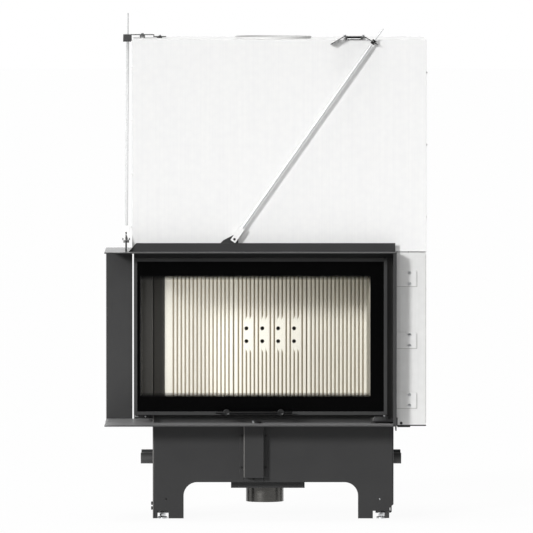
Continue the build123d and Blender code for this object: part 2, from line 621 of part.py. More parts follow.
def sill_band():
    """Bent band on the ledge, with the shelf, the upright lip that the door seals against and an end plate."""
    right = BASE_RIGHT - SHEET
    band_line = [(BASE_LEFT, SIDE_BACK), (BASE_LEFT, BASE_FRONT), (right, BASE_FRONT)]
    shelf_z = SILL_TOP - SHEET
    band = plan_sheet(band_line, SHEET, SILL_BEND, (LEDGE_TOP, shelf_z))
    lip_line = [(SIDE_SEAL_X, SIDE_BACK - SIDE_JAMB), (SIDE_SEAL_X, JAMB_FRONT), (JAMB_LEFT, JAMB_FRONT)]
    lip = plan_sheet(lip_line, SHEET, SHEET + 1, (SILL_TOP, SEAL_LIP_TOP))
    inner_x = BASE_LEFT + SHEET
    inner_y = BASE_FRONT + SHEET
    shelf = [(SIDE_SEAL_X, JAMB_FRONT), (JAMB_LEFT, JAMB_FRONT), (JAMB_LEFT, inner_y), (inner_x, inner_y)]
    shelf += [(inner_x, SIDE_BACK), (SIDE_SEAL_X, SIDE_BACK)]
    end_y = (SIDE_BACK - SHEET, SIDE_BACK)
    end_plate = block((DUCT_X[0], inner_x), end_y, (LEDGE_TOP, LEAF_BOTTOM - SHEET))
    return band + plan_plate(shelf, shelf_z, SHEET) + lip + end_plate


def upper_ledge():
    """L-shaped ledge above the door."""
    back = FRONT + UPPER_LEDGE_DEPTH
    outline = [(LEFT, FRONT), (LEDGE_RIGHT, FRONT), (LEDGE_RIGHT, back), (UPPER_LEDGE_INNER_X, back)]
    outline += [(UPPER_LEDGE_INNER_X, SIDE_BACK), (LEFT, SIDE_BACK)]
    return plan_plate(outline, UPPER_LEDGE, LEDGE_THICK)


def hood_plate():
    """Upright plate on the upper ledge, its left end cut at a slope."""
    foot = UPPER_LEDGE + LEDGE_THICK
    outline = [(HOOD_BOTTOM_LEFT, foot), (LEDGE_RIGHT, foot), (LEDGE_RIGHT, HOOD_TOP)]
    outline.append((HOOD_TOP_LEFT, HOOD_TOP))
    return front_plate(outline, HOOD_FRONT, SHEET)


def wing_panel():
    """Upright panel that closes the glazed side at the back, between the ledges."""
    return block((LEFT, WING_INNER_X), (SIDE_BACK - SHEET, SIDE_BACK), (LEDGE_TOP, UPPER_LEDGE))


def right_frame_plate():
    """Plate at the right end of the ledges, with a narrow lip that faces forward and a stop tab."""
    left = LEDGE_RIGHT
    plate = block((left, left + LEDGE_THICK), (FRONT, FRONT + UPPER_LEDGE_DEPTH),
                  (FRAME_PLATE_BOTTOM, UPPER_LEDGE + LEDGE_THICK))
    lip = block((FRAME_LIP_LEFT, left), (FRONT, FRONT + FRAME_LIP_DEPTH), (LEDGE_TOP, UPPER_LEDGE))
    outer = left + LEDGE_THICK
    width, depth, height = STOP_TAB
    tab_z = (DUCT_FLOOR_TOP, DUCT_FLOOR_TOP + height)
    return plate + lip + block((outer, outer + width), (COVER_FRONT - depth, COVER_FRONT), tab_z)


# ---- firebox -------------------------------------------------------------------------------------


def firebox_floor_pan():
    """Floor plate level with the ledge, with the air opening over the air box."""
    front = FRONT + LEDGE_DEPTH
    outline = [(LEDGE_INNER_X, front), (BASE_RIGHT, front), (BASE_RIGHT, BASE_BACK), (POST_LEFT, BASE_BACK)]
    outline += [(POST_LEFT, SIDE_BACK), (LEDGE_INNER_X, SIDE_BACK)]
    plate = plan_plate(outline, BASE_TOP, LEDGE_THICK)
    return plate - rod((SPIGOT_X, SPIGOT_Y, BASE_TOP), (SPIGOT_X, SPIGOT_Y, LEDGE_TOP), SPIGOT_RADIUS)


def firebox_back_wall():
    """Rear wall of the firebox."""
    return block((POST_LEFT, BASE_RIGHT), (BASE_BACK - BACK_WALL_THICK, BASE_BACK), (LEDGE_TOP, FIREBOX_TOP))


def firebox_right_wall():
    """Right wall, bent at the front into the jamb that the leaf's seal meets."""
    line = [(JAMB_LEFT, JAMB_FRONT), (BASE_RIGHT, JAMB_FRONT), (BASE_RIGHT, BASE_BACK - BACK_WALL_THICK)]
    return plan_sheet(line, SHEET, BEND_RADIUS, (LEDGE_TOP, FIREBOX_TOP))


def rear_left_post():
    """Wall behind the glazed side with the bent post on it, and the jamb in front of it."""
    back = BASE_BACK - BACK_WALL_THICK
    height = (LEDGE_TOP, FIREBOX_TOP)
    wall_face = POST_LEFT + SHEET
    line = [(wall_face, back), (wall_face, POST_FRONT), (POST_RIGHT, POST_FRONT), (POST_RIGHT, back)]
    post = plan_sheet(line, SHEET, POST_BEND, height)
    post += block((POST_LEFT, wall_face), (SIDE_BACK, back), height)
    jamb_line = [(wall_face, SIDE_BACK), (SIDE_SEAL_X, SIDE_BACK), (SIDE_SEAL_X, SIDE_BACK - SIDE_JAMB)]
    jamb = plan_sheet(jamb_line, SHEET, SHEET + 1, (SILL_TOP, FIREBOX_TOP))
    return [post, jamb]


def inner_lintel():
    """Bent lintel over the opening: the door's upper seal meets it."""
    line = [(SIDE_SEAL_X, SIDE_BACK - SIDE_JAMB), (SIDE_SEAL_X, JAMB_FRONT), (JAMB_LEFT, JAMB_FRONT)]
    return plan_sheet(line, SHEET, SHEET + 1, (LINTEL_BOTTOM, FIREBOX_TOP))


def groove_cutter(x, z, run_out=0):
    """Upright groove, wider at the face than at its floor; it gets shallow towards a run-out end.

    A positive run-out is at the upper end, a negative one at the lower end.
    """
    half = GROOVE_WIDTH / 2
    floor = GROOVE_FLOOR / 2
    bottom = LINING_FACE + GROOVE_DEPTH
    outline = [(x - half, LINING_FACE), (x + half, LINING_FACE), (x + floor, bottom), (x - floor, bottom)]
    cutter = plan_plate(outline, z[0], z[1] - z[0])
    if run_out == 0:
        return cutter
    low = z[0] - min(run_out, 0)
    high = z[1] - max(run_out, 0)
    side = [(LINING_FACE, z[0]), (bottom, low), (bottom, high), (LINING_FACE, z[1])]
    return cutter & side_plate(side, x - half, GROOVE_WIDTH)


def beside_air_hole(x):
    """True for the groove of a column of air holes and for the next one on its right."""
    offset_x = (x - HOLE_FIRST_X + GROOVE_PITCH / 2) % HOLE_PITCH
    last = HOLE_FIRST_X + (len(HOLE_COLUMNS) - 1) * HOLE_PITCH + 2 * GROOVE_PITCH
    return HOLE_FIRST_X - GROOVE_PITCH / 2 < x < last and offset_x < 2 * GROOVE_PITCH


def back_lining():
    """Three ribbed panels side by side; the middle one has eight air holes."""
    panels = []
    left = LINING_LEFT
    depth = (LINING_FACE, LINING_FACE + LINING_THICK)
    widths = (LEFT_PANEL, MIDDLE_PANEL, RIGHT_LINING_BACK_X - LINING_LEFT - LEFT_PANEL - MIDDLE_PANEL)
    for width, first in zip(widths, PANEL_FIRST_GROOVE):
        panel = block((left, left + width - PANEL_JOINT), depth, (LEDGE_TOP, LINING_TOP))
        cutters = []
        for count in range(int((width - first - GROOVE_WIDTH) / GROOVE_PITCH) + 1):
            x = left + first + count * GROOVE_PITCH
            if beside_air_hole(x):
                cutters.append(groove_cutter(x, (LEDGE_TOP, PAD_Z[0]), GROOVE_RUN_OUT))
                cutters.append(groove_cutter(x, (PAD_Z[1], LINING_TOP), -GROOVE_RUN_OUT))
            else:
                cutters.append(groove_cutter(x, (LEDGE_TOP, LINING_TOP)))
        for column in HOLE_COLUMNS:
            x = HOLE_FIRST_X + column * HOLE_PITCH
            if left < x < left + width:
                cutters += [rod((x, depth[0], z), (x, depth[1], z), HOLE_RADIUS) for z in HOLE_ROWS]
        panels.append(panel - cutters)
        left += width
    return panels


def right_lining():
    """Side lining, slightly splayed towards the front."""
    front = BASE_FRONT + SHEET + 1
    back = BASE_BACK - BACK_WALL_THICK
    near = RIGHT_LINING_BACK_X + RIGHT_LINING_SPLAY
    far = RIGHT_LINING_BACK_X
    outline = [(near, front), (near + RIGHT_LINING_THICK, front)]
    outline += [(far + RIGHT_LINING_THICK, back), (far, back)]
    return plan_plate(outline, LEDGE_TOP, LINING_TOP - LEDGE_TOP)


def floor_lining():
    """Floor slab inside the sill, the side lining and the back lining."""
    joint = PANEL_JOINT / 2
    front = BASE_FRONT + SHEET + FLOOR_JOINT
    near = RIGHT_LINING_BACK_X + RIGHT_LINING_SPLAY - joint
    back = LINING_FACE - joint
    left = BASE_LEFT + SHEET + FLOOR_JOINT
    outline = [(left, front), (near, front), (RIGHT_LINING_BACK_X - joint, back), (LINING_LEFT, back)]
    outline += [(LINING_LEFT, POST_FRONT - joint), (left, POST_FRONT - joint)]
    return plan_plate(outline, LEDGE_TOP, FLOOR_LINING_TOP - LEDGE_TOP)


def baffle_plates():
    """Two slabs that lie on the back and side lining and turn the smoke forward."""
    depth = (BASE_FRONT + BAFFLE_FRONT_GAP, LINING_FACE + LINING_THICK)
    left = LINING_LEFT
    right = RIGHT_LINING_BACK_X + RIGHT_LINING_THICK
    middle = (left + right) / 2
    z = (LINING_TOP, LINING_TOP + BAFFLE_THICK)
    return [block((left, middle - PANEL_JOINT), depth, z), block((middle, right), depth, z)]


def smoke_dome():
    """Roof of the firebox and the sloping dome that narrows to the flue."""
    roof = [(SIDE_SEAL_X, JAMB_FRONT), (BASE_RIGHT, JAMB_FRONT), (BASE_RIGHT, BASE_BACK)]
    roof += [(POST_LEFT, BASE_BACK), (POST_LEFT, SIDE_BACK), (SIDE_SEAL_X, SIDE_BACK)]
    plate = plan_plate(roof, FIREBOX_TOP, ROOF_THICK)
    foot_x = (POST_LEFT + DOME_INSET, BASE_RIGHT - DOME_INSET)
    foot_y = (JAMB_FRONT + DOME_INSET, BASE_BACK - DOME_INSET)

    def frustum(wall, bottom, top):
        """Solid frustum, smaller by one wall all round."""
        foot_size = (foot_x[1] - foot_x[0] - 2 * wall, foot_y[1] - foot_y[0] - 2 * wall)
        foot = Pos(sum(foot_x) / 2, sum(foot_y) / 2, bottom) * Rectangle(*foot_size)
        head_size = (2 * (DOME_TOP_HALF[0] - wall), 2 * (DOME_TOP_HALF[1] - wall))
        return loft([foot, Pos(FLUE_X, FLUE_Y, top) * Rectangle(*head_size)])

    bottom = FIREBOX_TOP + ROOF_THICK
    dome = frustum(0, bottom, DOME_TOP)
    room = frustum(SHEET, bottom, DOME_TOP - SHEET)
    inner_x = (foot_x[0] + SHEET, foot_x[1] - SHEET)
    inner_y = (foot_y[0] + SHEET, foot_y[1] - SHEET)
    opening = block(inner_x, inner_y, (FIREBOX_TOP, bottom))
    flue = rod((FLUE_X, FLUE_Y, DOME_TOP - SHEET), (FLUE_X, FLUE_Y, DOME_TOP), FLUE_RADIUS - FLUE_WALL)
    return (plate - opening) + (dome - room - flue)


def flue_collar():
    """Round collar for the flue pipe."""
    return tube((FLUE_X, FLUE_Y, DOME_TOP), (FLUE_X, FLUE_Y, FLUE_TOP), FLUE_RADIUS, FLUE_WALL)


# ---- housing -------------------------------------------------------------------------------------


def inner_depth():
    """Depth between the front and the rear covers."""
    return (COVER_FRONT + COVER_SHEET, BACK - COVER_SHEET)


def upper_front_cover():
    """Large front cover of the housing."""
    z = (UPPER_LEDGE + LEDGE_THICK, HOUSING_TOP)
    return block((HOUSING_LEFT, RIGHT), (COVER_FRONT, COVER_FRONT + COVER_SHEET), z)


def upper_left_cover():
    """Left cover of the housing."""
    z = (UPPER_LEDGE + LEDGE_THICK, HOUSING_TOP)
    return block((HOUSING_LEFT, HOUSING_LEFT + COVER_SHEET), inner_depth(), z)


def right_cover():
    """Right cover, down to the floor of the weight duct."""
    return block((RIGHT - COVER_SHEET, RIGHT), inner_depth(), (DUCT_FLOOR_TOP, HOUSING_TOP))


def lower_right_cover():
    """Front cover of the weight duct, beside the door."""
    x = (LEDGE_RIGHT + LEDGE_THICK, RIGHT)
    z = (DUCT_FLOOR_TOP, UPPER_LEDGE + COVER_SHEET)
    return block(x, (COVER_FRONT, COVER_FRONT + COVER_SHEET), z)


def rear_cover():
    """Rear cover of the housing and of both ducts."""
    x = (HOUSING_LEFT + COVER_SHEET, RIGHT - COVER_SHEET)
    return block(x, (BACK - COVER_SHEET, BACK), (DUCT_FLOOR_TOP, HOUSING_TOP))


def top_plate():
    """Lid of the housing, with a raised ring round the hole for the flue pipe."""
    x = (HOUSING_LEFT + COVER_SHEET, RIGHT - COVER_SHEET)
    bottom = HOUSING_TOP - COVER_SHEET
    ring_top = (FLUE_X, FLUE_Y, HOUSING_TOP + UPSTAND)
    hole = FLUE_RADIUS + FLUE_GAP
    lid = block(x, inner_depth(), (bottom, HOUSING_TOP)) - rod((FLUE_X, FLUE_Y, bottom), ring_top, hole)
    return lid + tube((FLUE_X, FLUE_Y, bottom), ring_top, hole + COVER_SHEET, COVER_SHEET)


def duct_plates():
    """Floor plate of the weight duct, and the channel behind the glazed side for the left weight."""
    behind = FRONT + UPPER_LEDGE_DEPTH
    left = LEDGE_RIGHT + LEDGE_THICK
    bottom = DUCT_FLOOR_TOP - LEDGE_THICK
    ledge_back = FRONT + LEDGE_DEPTH
    outline = [(LEDGE_RIGHT, ledge_back), (LEDGE_RIGHT, behind), (left, behind), (left, COVER_FRONT)]
    outline += [(RIGHT, COVER_FRONT), (RIGHT, BACK), (BASE_RIGHT, BACK), (BASE_RIGHT, ledge_back)]
    floor = plan_plate(outline, bottom, LEDGE_THICK)
    start, width, drop = DUCT_APRON
    apron_x = (left + start, left + start + width)
    floor += block(apron_x, (COVER_FRONT, COVER_FRONT + LEDGE_THICK), (bottom - drop, bottom))
    depth = (SIDE_BACK, BACK - COVER_SHEET)
    z = (LEDGE_TOP, DUCT_TOP)
    inner = block((DUCT_X[0] + COVER_SHEET, DUCT_X[1] - COVER_SHEET), (depth[0] + COVER_SHEET, depth[1]), z)
    slot = block(DUCT_SLOT_X, (depth[0], depth[0] + COVER_SHEET), z)
    return [floor, block(DUCT_X, depth, z) - inner - slot]


def cover_brackets():
    """Three small plates that hold the lower right cover to the frame plate."""
    half = BRACKET_PLATE_HEIGHT / 2
    depth = (COVER_FRONT - SHEET, COVER_FRONT)
    return [block(BRACKET_PLATE_X, depth, (z - half, z + half)) for z in BRACKET_PLATE_Z]


def front_screw(x, face, z):
    """Round screw head on a face that looks to the front."""
    return rod((x, face - COVER_SCREW_HEAD, z), (x, face, z), COVER_SCREW_RADIUS)


def cover_screws():
    """Screw heads on the brackets, the side covers and the duct cover's flanges."""
    pitch = BRACKET_PLATE_SCREW_PITCH / 2
    heads = [front_screw(BRACKET_PLATE_SCREW_X, COVER_FRONT - SHEET, middle + way * pitch)
             for middle in BRACKET_PLATE_Z for way in (-1, 1)]
    heads.append(front_screw(LEDGE_RIGHT + APRON_SCREW[0], COVER_FRONT, DUCT_FLOOR_TOP + APRON_SCREW[1]))
    y = COVER_FRONT + SIDE_SCREW_INSET
    first_right, first_left = (HOUSING_TOP - drop for drop in FIRST_SCREW_DROP)
    for count in range(RIGHT_SCREWS):
        z = first_right - count * RIGHT_SCREW_PITCH
        heads.append(rod((RIGHT, y, z), (RIGHT + SIDE_SCREW_HEAD, y, z), COVER_SCREW_RADIUS))
    for count in range(LEFT_SCREWS):
        z = first_left - count * LEFT_SCREW_PITCH
        heads.append(rod((HOUSING_LEFT - SIDE_SCREW_HEAD, y, z), (HOUSING_LEFT, y, z), COVER_SCREW_RADIUS))
    half = COVER_FLANGE / 2
    flange = BASE_FRONT - COVER_WALL
    for x in (COVER_X[0] - half, COVER_X[1] + half):
        heads += [front_screw(x, flange, z) for z in DUCT_SCREW_HEIGHTS]
    heads.append(front_screw(sum(COVER_X) / 2, flange, COVER_Z[0] - half))
    return heads


# ---- door ----------------------------------------------------------------------------------------


def leaf_frame():
    """Front frame with a pocket for the glass, and the clamping frame behind the glass."""
    x = (LEAF_LEFT, LEAF_RIGHT)
    z = (LEAF_BOTTOM, LEAF_TOP)
    back = LEAF_FRONT + LEAF_THICK
    pocket_x = (x[0] + FRAME_WALL, x[1] - FRAME_WALL)
    pocket_z = (z[0] + FRAME_WALL, z[1] - FRAME_WALL)
    frame = ring(x, z, (LEAF_FRONT, back), BORDER) - block(pocket_x, (LEAF_FRONT + LIP, back), pocket_z)
    for bottom, top in ((LEAF_BOTTOM, pocket_z[0]), (pocket_z[1], LEAF_TOP)):
        frame -= rod((HINGE_X, HINGE_Y, bottom), (HINGE_X, HINGE_Y, top), HINGE_RADIUS + BOLT_FIT)
    clamp = block(pocket_x, (LEAF_FRONT + LIP + GLASS, back), pocket_z)
    narrow = BORDER - 1
    wide = BORDER + SEAL_WIDTH - FRAME_WALL
    clear_z = (pocket_z[0] + wide, pocket_z[1] - wide)
    clamp -= block((pocket_x[0] + narrow, pocket_x[1] - wide), (LEAF_FRONT, back), clear_z)
    return [frame, clamp]


def leaf_glass():
    """Glass pane of the front leaf."""
    edge = FRAME_WALL + PANEL_JOINT
    depth = (LEAF_FRONT + LIP, LEAF_FRONT + LIP + GLASS)
    return block((LEAF_LEFT + edge, LEAF_RIGHT - edge), depth, (LEAF_BOTTOM + edge, LEAF_TOP - edge))


def leaf_seal():
    """Flat fibre seal on the back of the leaf: bottom, right and top, left of the hinge axis."""
    back = LEAF_FRONT + LEAF_THICK
    right = HINGE_X - HINGE_RADIUS
    left = LEAF_LEFT + SIDE_THICK + FRAME_WALL
    low = SILL_TOP
    high = LEAF_TOP - 1
    depth = (back, back + SEAL_THICK)
    strip = block((left, right), depth, (low, high))
    return strip - block((left, right - SEAL_WIDTH), depth, (low + SEAL_WIDTH, high - SEAL_WIDTH))


def leaf_handle():
    """Long thin bar across two knobs near the lower edge of the leaf."""
    handle = rod((HANDLE_X[0], HANDLE_Y, HANDLE_Z), (HANDLE_X[1], HANDLE_Y, HANDLE_Z), HANDLE_RADIUS)
    for x in KNOBS_X:
        handle += rod((x, HANDLE_Y, HANDLE_Z), (x, LEAF_FRONT, HANDLE_Z), STEM_RADIUS)
        knob_y = (HANDLE_Y - HANDLE_RADIUS, HANDLE_Y + HANDLE_RADIUS)
        handle += rod((x, knob_y[0], HANDLE_Z), (x, knob_y[1], HANDLE_Z), KNOB_RADIUS)
    return handle


def side_span():
    """Depth of the side frame, just behind the leaf."""
    return (LEAF_FRONT + LEAF_THICK + SIDE_GAP, SIDE_FRAME_BACK)


def side_frame():
    """Frame of the side glass and its clamping frame."""
    y = side_span()
    z = (LEAF_BOTTOM, CARRIER_BOTTOM)
    x = (LEAF_LEFT, LEAF_LEFT + SIDE_THICK)
    pocket_y = (y[0] + FRAME_WALL, y[1] - FRAME_WALL)
    pocket_z = (z[0] + FRAME_WALL, z[1] - FRAME_WALL)
    frame = side_ring(y, z, x, BORDER) - block((x[0] + LIP, x[1]), pocket_y, pocket_z)
    clamp = side_ring(pocket_y, pocket_z, (x[0] + LIP + GLASS, x[1]), BORDER - 1)
    return [frame, clamp]


def side_glass():
    """Glass pane of the side."""
    edge = FRAME_WALL + PANEL_JOINT
    y = side_span()
    x = (LEAF_LEFT + LIP, LEAF_LEFT + LIP + GLASS)
    return block(x, (y[0] + edge, y[1] - edge), (LEAF_BOTTOM + edge, CARRIER_BOTTOM - edge))


def side_seal():
    """Flat fibre seal on the inside of the side frame: bottom, rear and top."""
    y = side_span()
    x = (LEAF_LEFT + SIDE_THICK, LEAF_LEFT + SIDE_THICK + SEAL_THICK)
    low = SILL_TOP
    high = CARRIER_BOTTOM - 1
    front = y[0] + FRAME_WALL
    strip = block(x, (front, y[1]), (low, high))
    return strip - block(x, (front, y[1] - SEAL_WIDTH), (low + SEAL_WIDTH, high - SEAL_WIDTH))


def door_carriage():
    """L-shaped carrier bar, right plate with the hinge bracket and pins, left tongue and cable lugs."""
    bar_y = (LEAF_FRONT, LEAF_FRONT + LEAF_THICK)
    bar_z = (CARRIER_BOTTOM, CARRIER_TOP)
    side_x = (LEAF_LEFT, LEAF_LEFT + SIDE_THICK)
    left, right = HINGE_BRACKET_X
    low, high = HINGE_BRACKET_Z
    carriage = block((LEAF_LEFT, CARRIAGE_X[1]), bar_y, bar_z)
    carriage += block(side_x, (bar_y[1], SIDE_FRAME_BACK), bar_z)
    carriage += block(CARRIAGE_X, (LEAF_FRONT, CARRIAGE_BACK), (low, CARRIER_TOP))
    carriage += block((right, CARRIAGE_X[0]), bar_y, (low, HINGE_ARM_TOP))
    cut = HINGE_ARM_TOP - low
    toe = [(left, low), (right, low), (right, high), (left + cut, high), (left, high - cut)]
    carriage += front_plate(toe, LEAF_FRONT, LEAF_THICK)
    for start, end in ((high, LEAF_BOTTOM + HINGE_BITE), (LEAF_TOP - HINGE_BITE, CARRIER_BOTTOM)):
        carriage += rod((HINGE_X, HINGE_Y, start), (HINGE_X, HINGE_Y, end), HINGE_RADIUS)
    carriage += block(TONGUE_X, (SIDE_FRAME_BACK, LEFT_RAIL_Y[1]), (LEAF_BOTTOM, CARRIER_TOP))
    reach = STEM_RADIUS + 1
    right_lug = (CARRIAGE_X[1], RIGHT_CABLE_X, RIGHT_LUG_Y)
    left_lug = (TONGUE_X[1], LEFT_CABLE_X, LEFT_LUG_Y)
    for start, cable_x, lug_y in (right_lug, left_lug):
        carriage += block((start, cable_x + reach), (lug_y - reach, lug_y + reach), bar_z)
    return carriage


def shoe_heights():
    """Lower and upper pair of guide shoes."""
    low = LEAF_BOTTOM + SHEET
    high = CARRIER_BOTTOM - SHEET
    return ((low, low + SHOE_LENGTH), (high - SHOE_LENGTH, high))


def guide_shoes():
    """Four shoes that slide in the rails: two on the right plate, two on the left tongue."""
    inset = RAIL_SHEET + SHOE_GAP
    shoes = []
    for z in shoe_heights():
        right_x = (RIGHT_RAIL_X[0] + inset, CARRIAGE_X[0])
        shoes.append(block(right_x, (RIGHT_RAIL_Y[0] + inset, RIGHT_RAIL_Y[1] - inset), z))
        left_x = (LEFT_RAIL_X[0] + inset, TONGUE_X[0])
        shoes.append(block(left_x, (LEFT_RAIL_Y[0] + inset, LEFT_RAIL_Y[1] - inset), z))
    return shoes


def guide_rails():
    """Two upright channels from the floor plates to the top plate, open towards the shoes."""
    rails = []
    z = (LEDGE_TOP, HOUSING_TOP - COVER_SHEET)
    for x, y in ((RIGHT_RAIL_X, RIGHT_RAIL_Y), (LEFT_RAIL_X, LEFT_RAIL_Y)):
        hollow = block((x[0] + RAIL_BACK, x[1]), (y[0] + RAIL_SHEET, y[1] - RAIL_SHEET), z)
        rails.append(block(x, y, z) - hollow)
    return rails


# ---- lift ----------------------------------------------------------------------------------------


def sheave_places():
    """For each side: cable plane, depth of the axle and radius to the middle of the cable."""
    right = (RIGHT_CABLE_X, RIGHT_LUG_Y + RIGHT_SHEAVE_RADIUS, RIGHT_SHEAVE_RADIUS)
    left = (LEFT_CABLE_X, LEFT_LUG_Y + LEFT_SHEAVE_RADIUS, LEFT_SHEAVE_RADIUS)
    return right, left


def sheave(x, y, radius):
    """Grooved wheel on its axle, with a web thinner than its rim and hub."""
    half = SHEAVE_WIDTH / 2
    floor = radius - CABLE_RADIUS - SLIDE_GAP
    rim = radius + 2 * CABLE_RADIUS
    groove = CABLE_RADIUS + 2 * SLIDE_GAP
    inner = floor - EYE_RADIUS
    hub = 2 * AXLE_RADIUS
    web = half / 3
    bore = AXLE_RADIUS + BOLT_FIT
    half_profile = [(half, bore), (half, hub), (web, hub), (web, inner), (half, inner), (half, rim)]
    half_profile += [(groove, rim), (CABLE_RADIUS + SLIDE_GAP, floor)]
    outline = half_profile + [(-a, b) for a, b in reversed(half_profile)]
    plane = Plane(origin=(x, y, SHEAVE_Z), x_dir=(1, 0, 0), z_dir=(0, -1, 0))
    axis = Axis((x, y, SHEAVE_Z), (1, 0, 0))
    return revolve(plane * Polygon(*outline, align=None), axis)


def sheave_right():
    """Wheel of the right cable."""
    return sheave(*sheave_places()[0])


def sheave_left():
    """Wheel of the left cable."""
    return sheave(*sheave_places()[1])


def sheave_brackets():
    """Two cheeks and the axle for each wheel, hung from the top plate."""
    brackets = []
    for x, y, _ in sheave_places():
        bracket = rod((x - SHEAVE_WIDTH, y, SHEAVE_Z), (x + SHEAVE_WIDTH, y, SHEAVE_Z), AXLE_RADIUS)
        for way in (-1, 1):
            inner = x + way * (SHEAVE_WIDTH / 2 + 1)
            cheek_x = sorted((inner, inner + way * SHEET))
            cheek_y = (y - 2 * AXLE_RADIUS, y + 2 * AXLE_RADIUS)
            bracket += block(cheek_x, cheek_y, (SHEAVE_Z - 2 * AXLE_RADIUS, HOUSING_TOP - COVER_SHEET))
        brackets.append(bracket)
    return brackets


def lift_cables():
    """Both cables: up from the lug, half a turn over the wheel, down to the weight's eye."""
    cables = []
    for x, y, radius in sheave_places():
        up = Line((x, y - radius, CARRIER_TOP), (x, y - radius, SHEAVE_Z))
        over = ThreePointArc((x, y - radius, SHEAVE_Z), (x, y, SHEAVE_Z + radius), (x, y + radius, SHEAVE_Z))
        down = Line((x, y + radius, SHEAVE_Z), (x, y + radius, WEIGHT_TOP + EYE_HEIGHT))
        start = Plane(origin=(x, y - radius, CARRIER_TOP), z_dir=(0, 0, 1))
        cables.append(sweep(start * Circle(CABLE_RADIUS), path=Wire([up, over, down])))
    return cables


def counterweight(x, y, size):
    """Steel bar with an eye for the cable on its top."""
    bottom = WEIGHT_TOP - WEIGHT_HEIGHT
    bar = block((x - size[0] / 2, x + size[0] / 2), (y - size[1] / 2, y + size[1] / 2), (bottom, WEIGHT_TOP))
    bar = chamfer(bar.edges().filter_by(Axis.Z), WEIGHT_EDGE)
    return bar + rod((x, y, WEIGHT_TOP), (x, y, WEIGHT_TOP + EYE_HEIGHT), EYE_RADIUS)


def counterweight_right():
    """Weight of the right cable."""
    x, y, radius = sheave_places()[0]
    return counterweight(x, y + radius, RIGHT_WEIGHT)


def counterweight_left():
    """Weight of the left cable."""
    x, y, radius = sheave_places()[1]
    return counterweight(x, y + radius, LEFT_WEIGHT)


# ---- tie rods ------------------------------------------------------------------------------------

UPRIGHT = (Align.CENTER, Align.CENTER, Align.MIN)


def rod_frames():
    """For each rod: frame at its lower bolt with z along the rod and x across the lug, and its length."""
    frames = []
    low = Vector(FRONT_BOLT_X, FRONT_ROD_Y, ROD_BOLT_Z)
    high = Vector(FRONT_ROD_TOP[0], FRONT_ROD_Y, FRONT_ROD_TOP[1])
    frames.append((Plane(origin=low, x_dir=(0, 1, 0), z_dir=high - low), (high - low).length))
    low = Vector(SIDE_ROD_X, SIDE_BOLT_Y, ROD_BOLT_Z)
    high = Vector(SIDE_ROD_X, SIDE_ROD_TOP[0], SIDE_ROD_TOP[1])
    frames.append((Plane(origin=low, x_dir=(1, 0, 0), z_dir=high - low), (high - low).length))
    return frames


def bracket_frames():
    """For each upper bracket: frame with x along the legs, way of its tab, the tab's bolts, and its legs."""
    front = Plane(origin=(FRONT_BRACKET_X, FRONT_ROD_Y, ROD_BRACKET_TOP), x_dir=(1, 0, 0), z_dir=(0, 0, 1))
    side = Plane(origin=(SIDE_ROD_X, SIDE_BRACKET_Y, ROD_BRACKET_TOP), x_dir=(0, 1, 0), z_dir=(0, 0, 1))
    return (front, 1, FRONT_TAB_BOLTS, FRONT_LEG), (side, -1, SIDE_TAB_BOLTS, SIDE_LEG)


def nut_starts(rod_frame, bracket_frame, leg):
    """Places along a rod where its upper and its lower nut start, either side of the sloping leg."""
    slope = Vector(leg[1], 0, leg[0]).normalized()
    origin = bracket_frame.to_local_coords(rod_frame.origin)
    along = bracket_frame.to_local_coords(rod_frame.origin + rod_frame.z_dir) - origin
    facing = slope.dot(along)
    hit = slope.dot(Vector(ROD_BRACKET_FLAT / 2, 0, 0) - Vector(origin.X, 0, origin.Z)) / facing
    corner_radius = ROD_NUT_WIDTH / math.sqrt(3)
    tilt = corner_radius * math.sqrt(1 - facing ** 2) / facing
    return hit + tilt, hit - ROD_BRACKET_SHEET / facing - tilt - ROD_NUT_HEIGHT


def tie_rods():
    """Two round rods that hold the upper ledge, each with a thinner threaded end in its bracket."""
    rods = []
    start = CLEVIS_SLOT + CLEVIS_ROD_BITE
    for (frame, length), (top, _, _, leg) in zip(rod_frames(), bracket_frames()):
        thread = nut_starts(frame, top, leg)[1] - ROD_THREAD_BELOW
        body = Pos(0, 0, start) * Cylinder(ROD_RADIUS, thread - start, align=UPRIGHT)
        body += Pos(0, 0, thread) * Cylinder(ROD_THREAD_RADIUS, length - thread, align=UPRIGHT)
        rods.append(frame * body)
    return rods


def tie_rod_clevises():
    """Fork at the lower end of each rod: it straddles the lug and takes the rod in its shank."""
    forks = []
    half = CLEVIS_WIDTH / 2
    for frame, _ in rod_frames():
        foot = Pos(0, 0, -half)
        fork = foot * Box(CLEVIS_WIDTH, CLEVIS_WIDTH, CLEVIS_LENGTH + half, align=UPRIGHT)
        fork = fillet(fork.edges().filter_by(Axis.X), CLEVIS_EDGE)
        fork -= foot * Box(LUG_THICK + 2 * ROD_HOLE, CLEVIS_WIDTH, CLEVIS_SLOT + half, align=UPRIGHT)
        fork -= Pos(0, 0, CLEVIS_SLOT) * Cylinder(ROD_RADIUS, CLEVIS_LENGTH, align=UPRIGHT)
        fork -= Rot(0, 90, 0) * Cylinder(PIN_RADIUS, 2 * CLEVIS_WIDTH)
        forks.append(frame * fork)
    return forks


def lug_outline(bolt):
    """Outline of a lug from the place of its bolt: high beside the bolt, sloping down behind it."""
    foot = UPPER_LEDGE + LEDGE_THICK
    head = foot + LUG_HEIGHT
    left, right = (bolt + end for end in LUG_FOOT)
    peak = bolt - LUG_CORNER / 2
    shoulder = foot + LUG_SHOULDER
    outline = [(left, foot), (right, foot), (right, head - LUG_CORNER), (right - LUG_CORNER, head)]
    return outline + [(peak, head), (left + LUG_CORNER, shoulder + LUG_CORNER), (left, shoulder)]


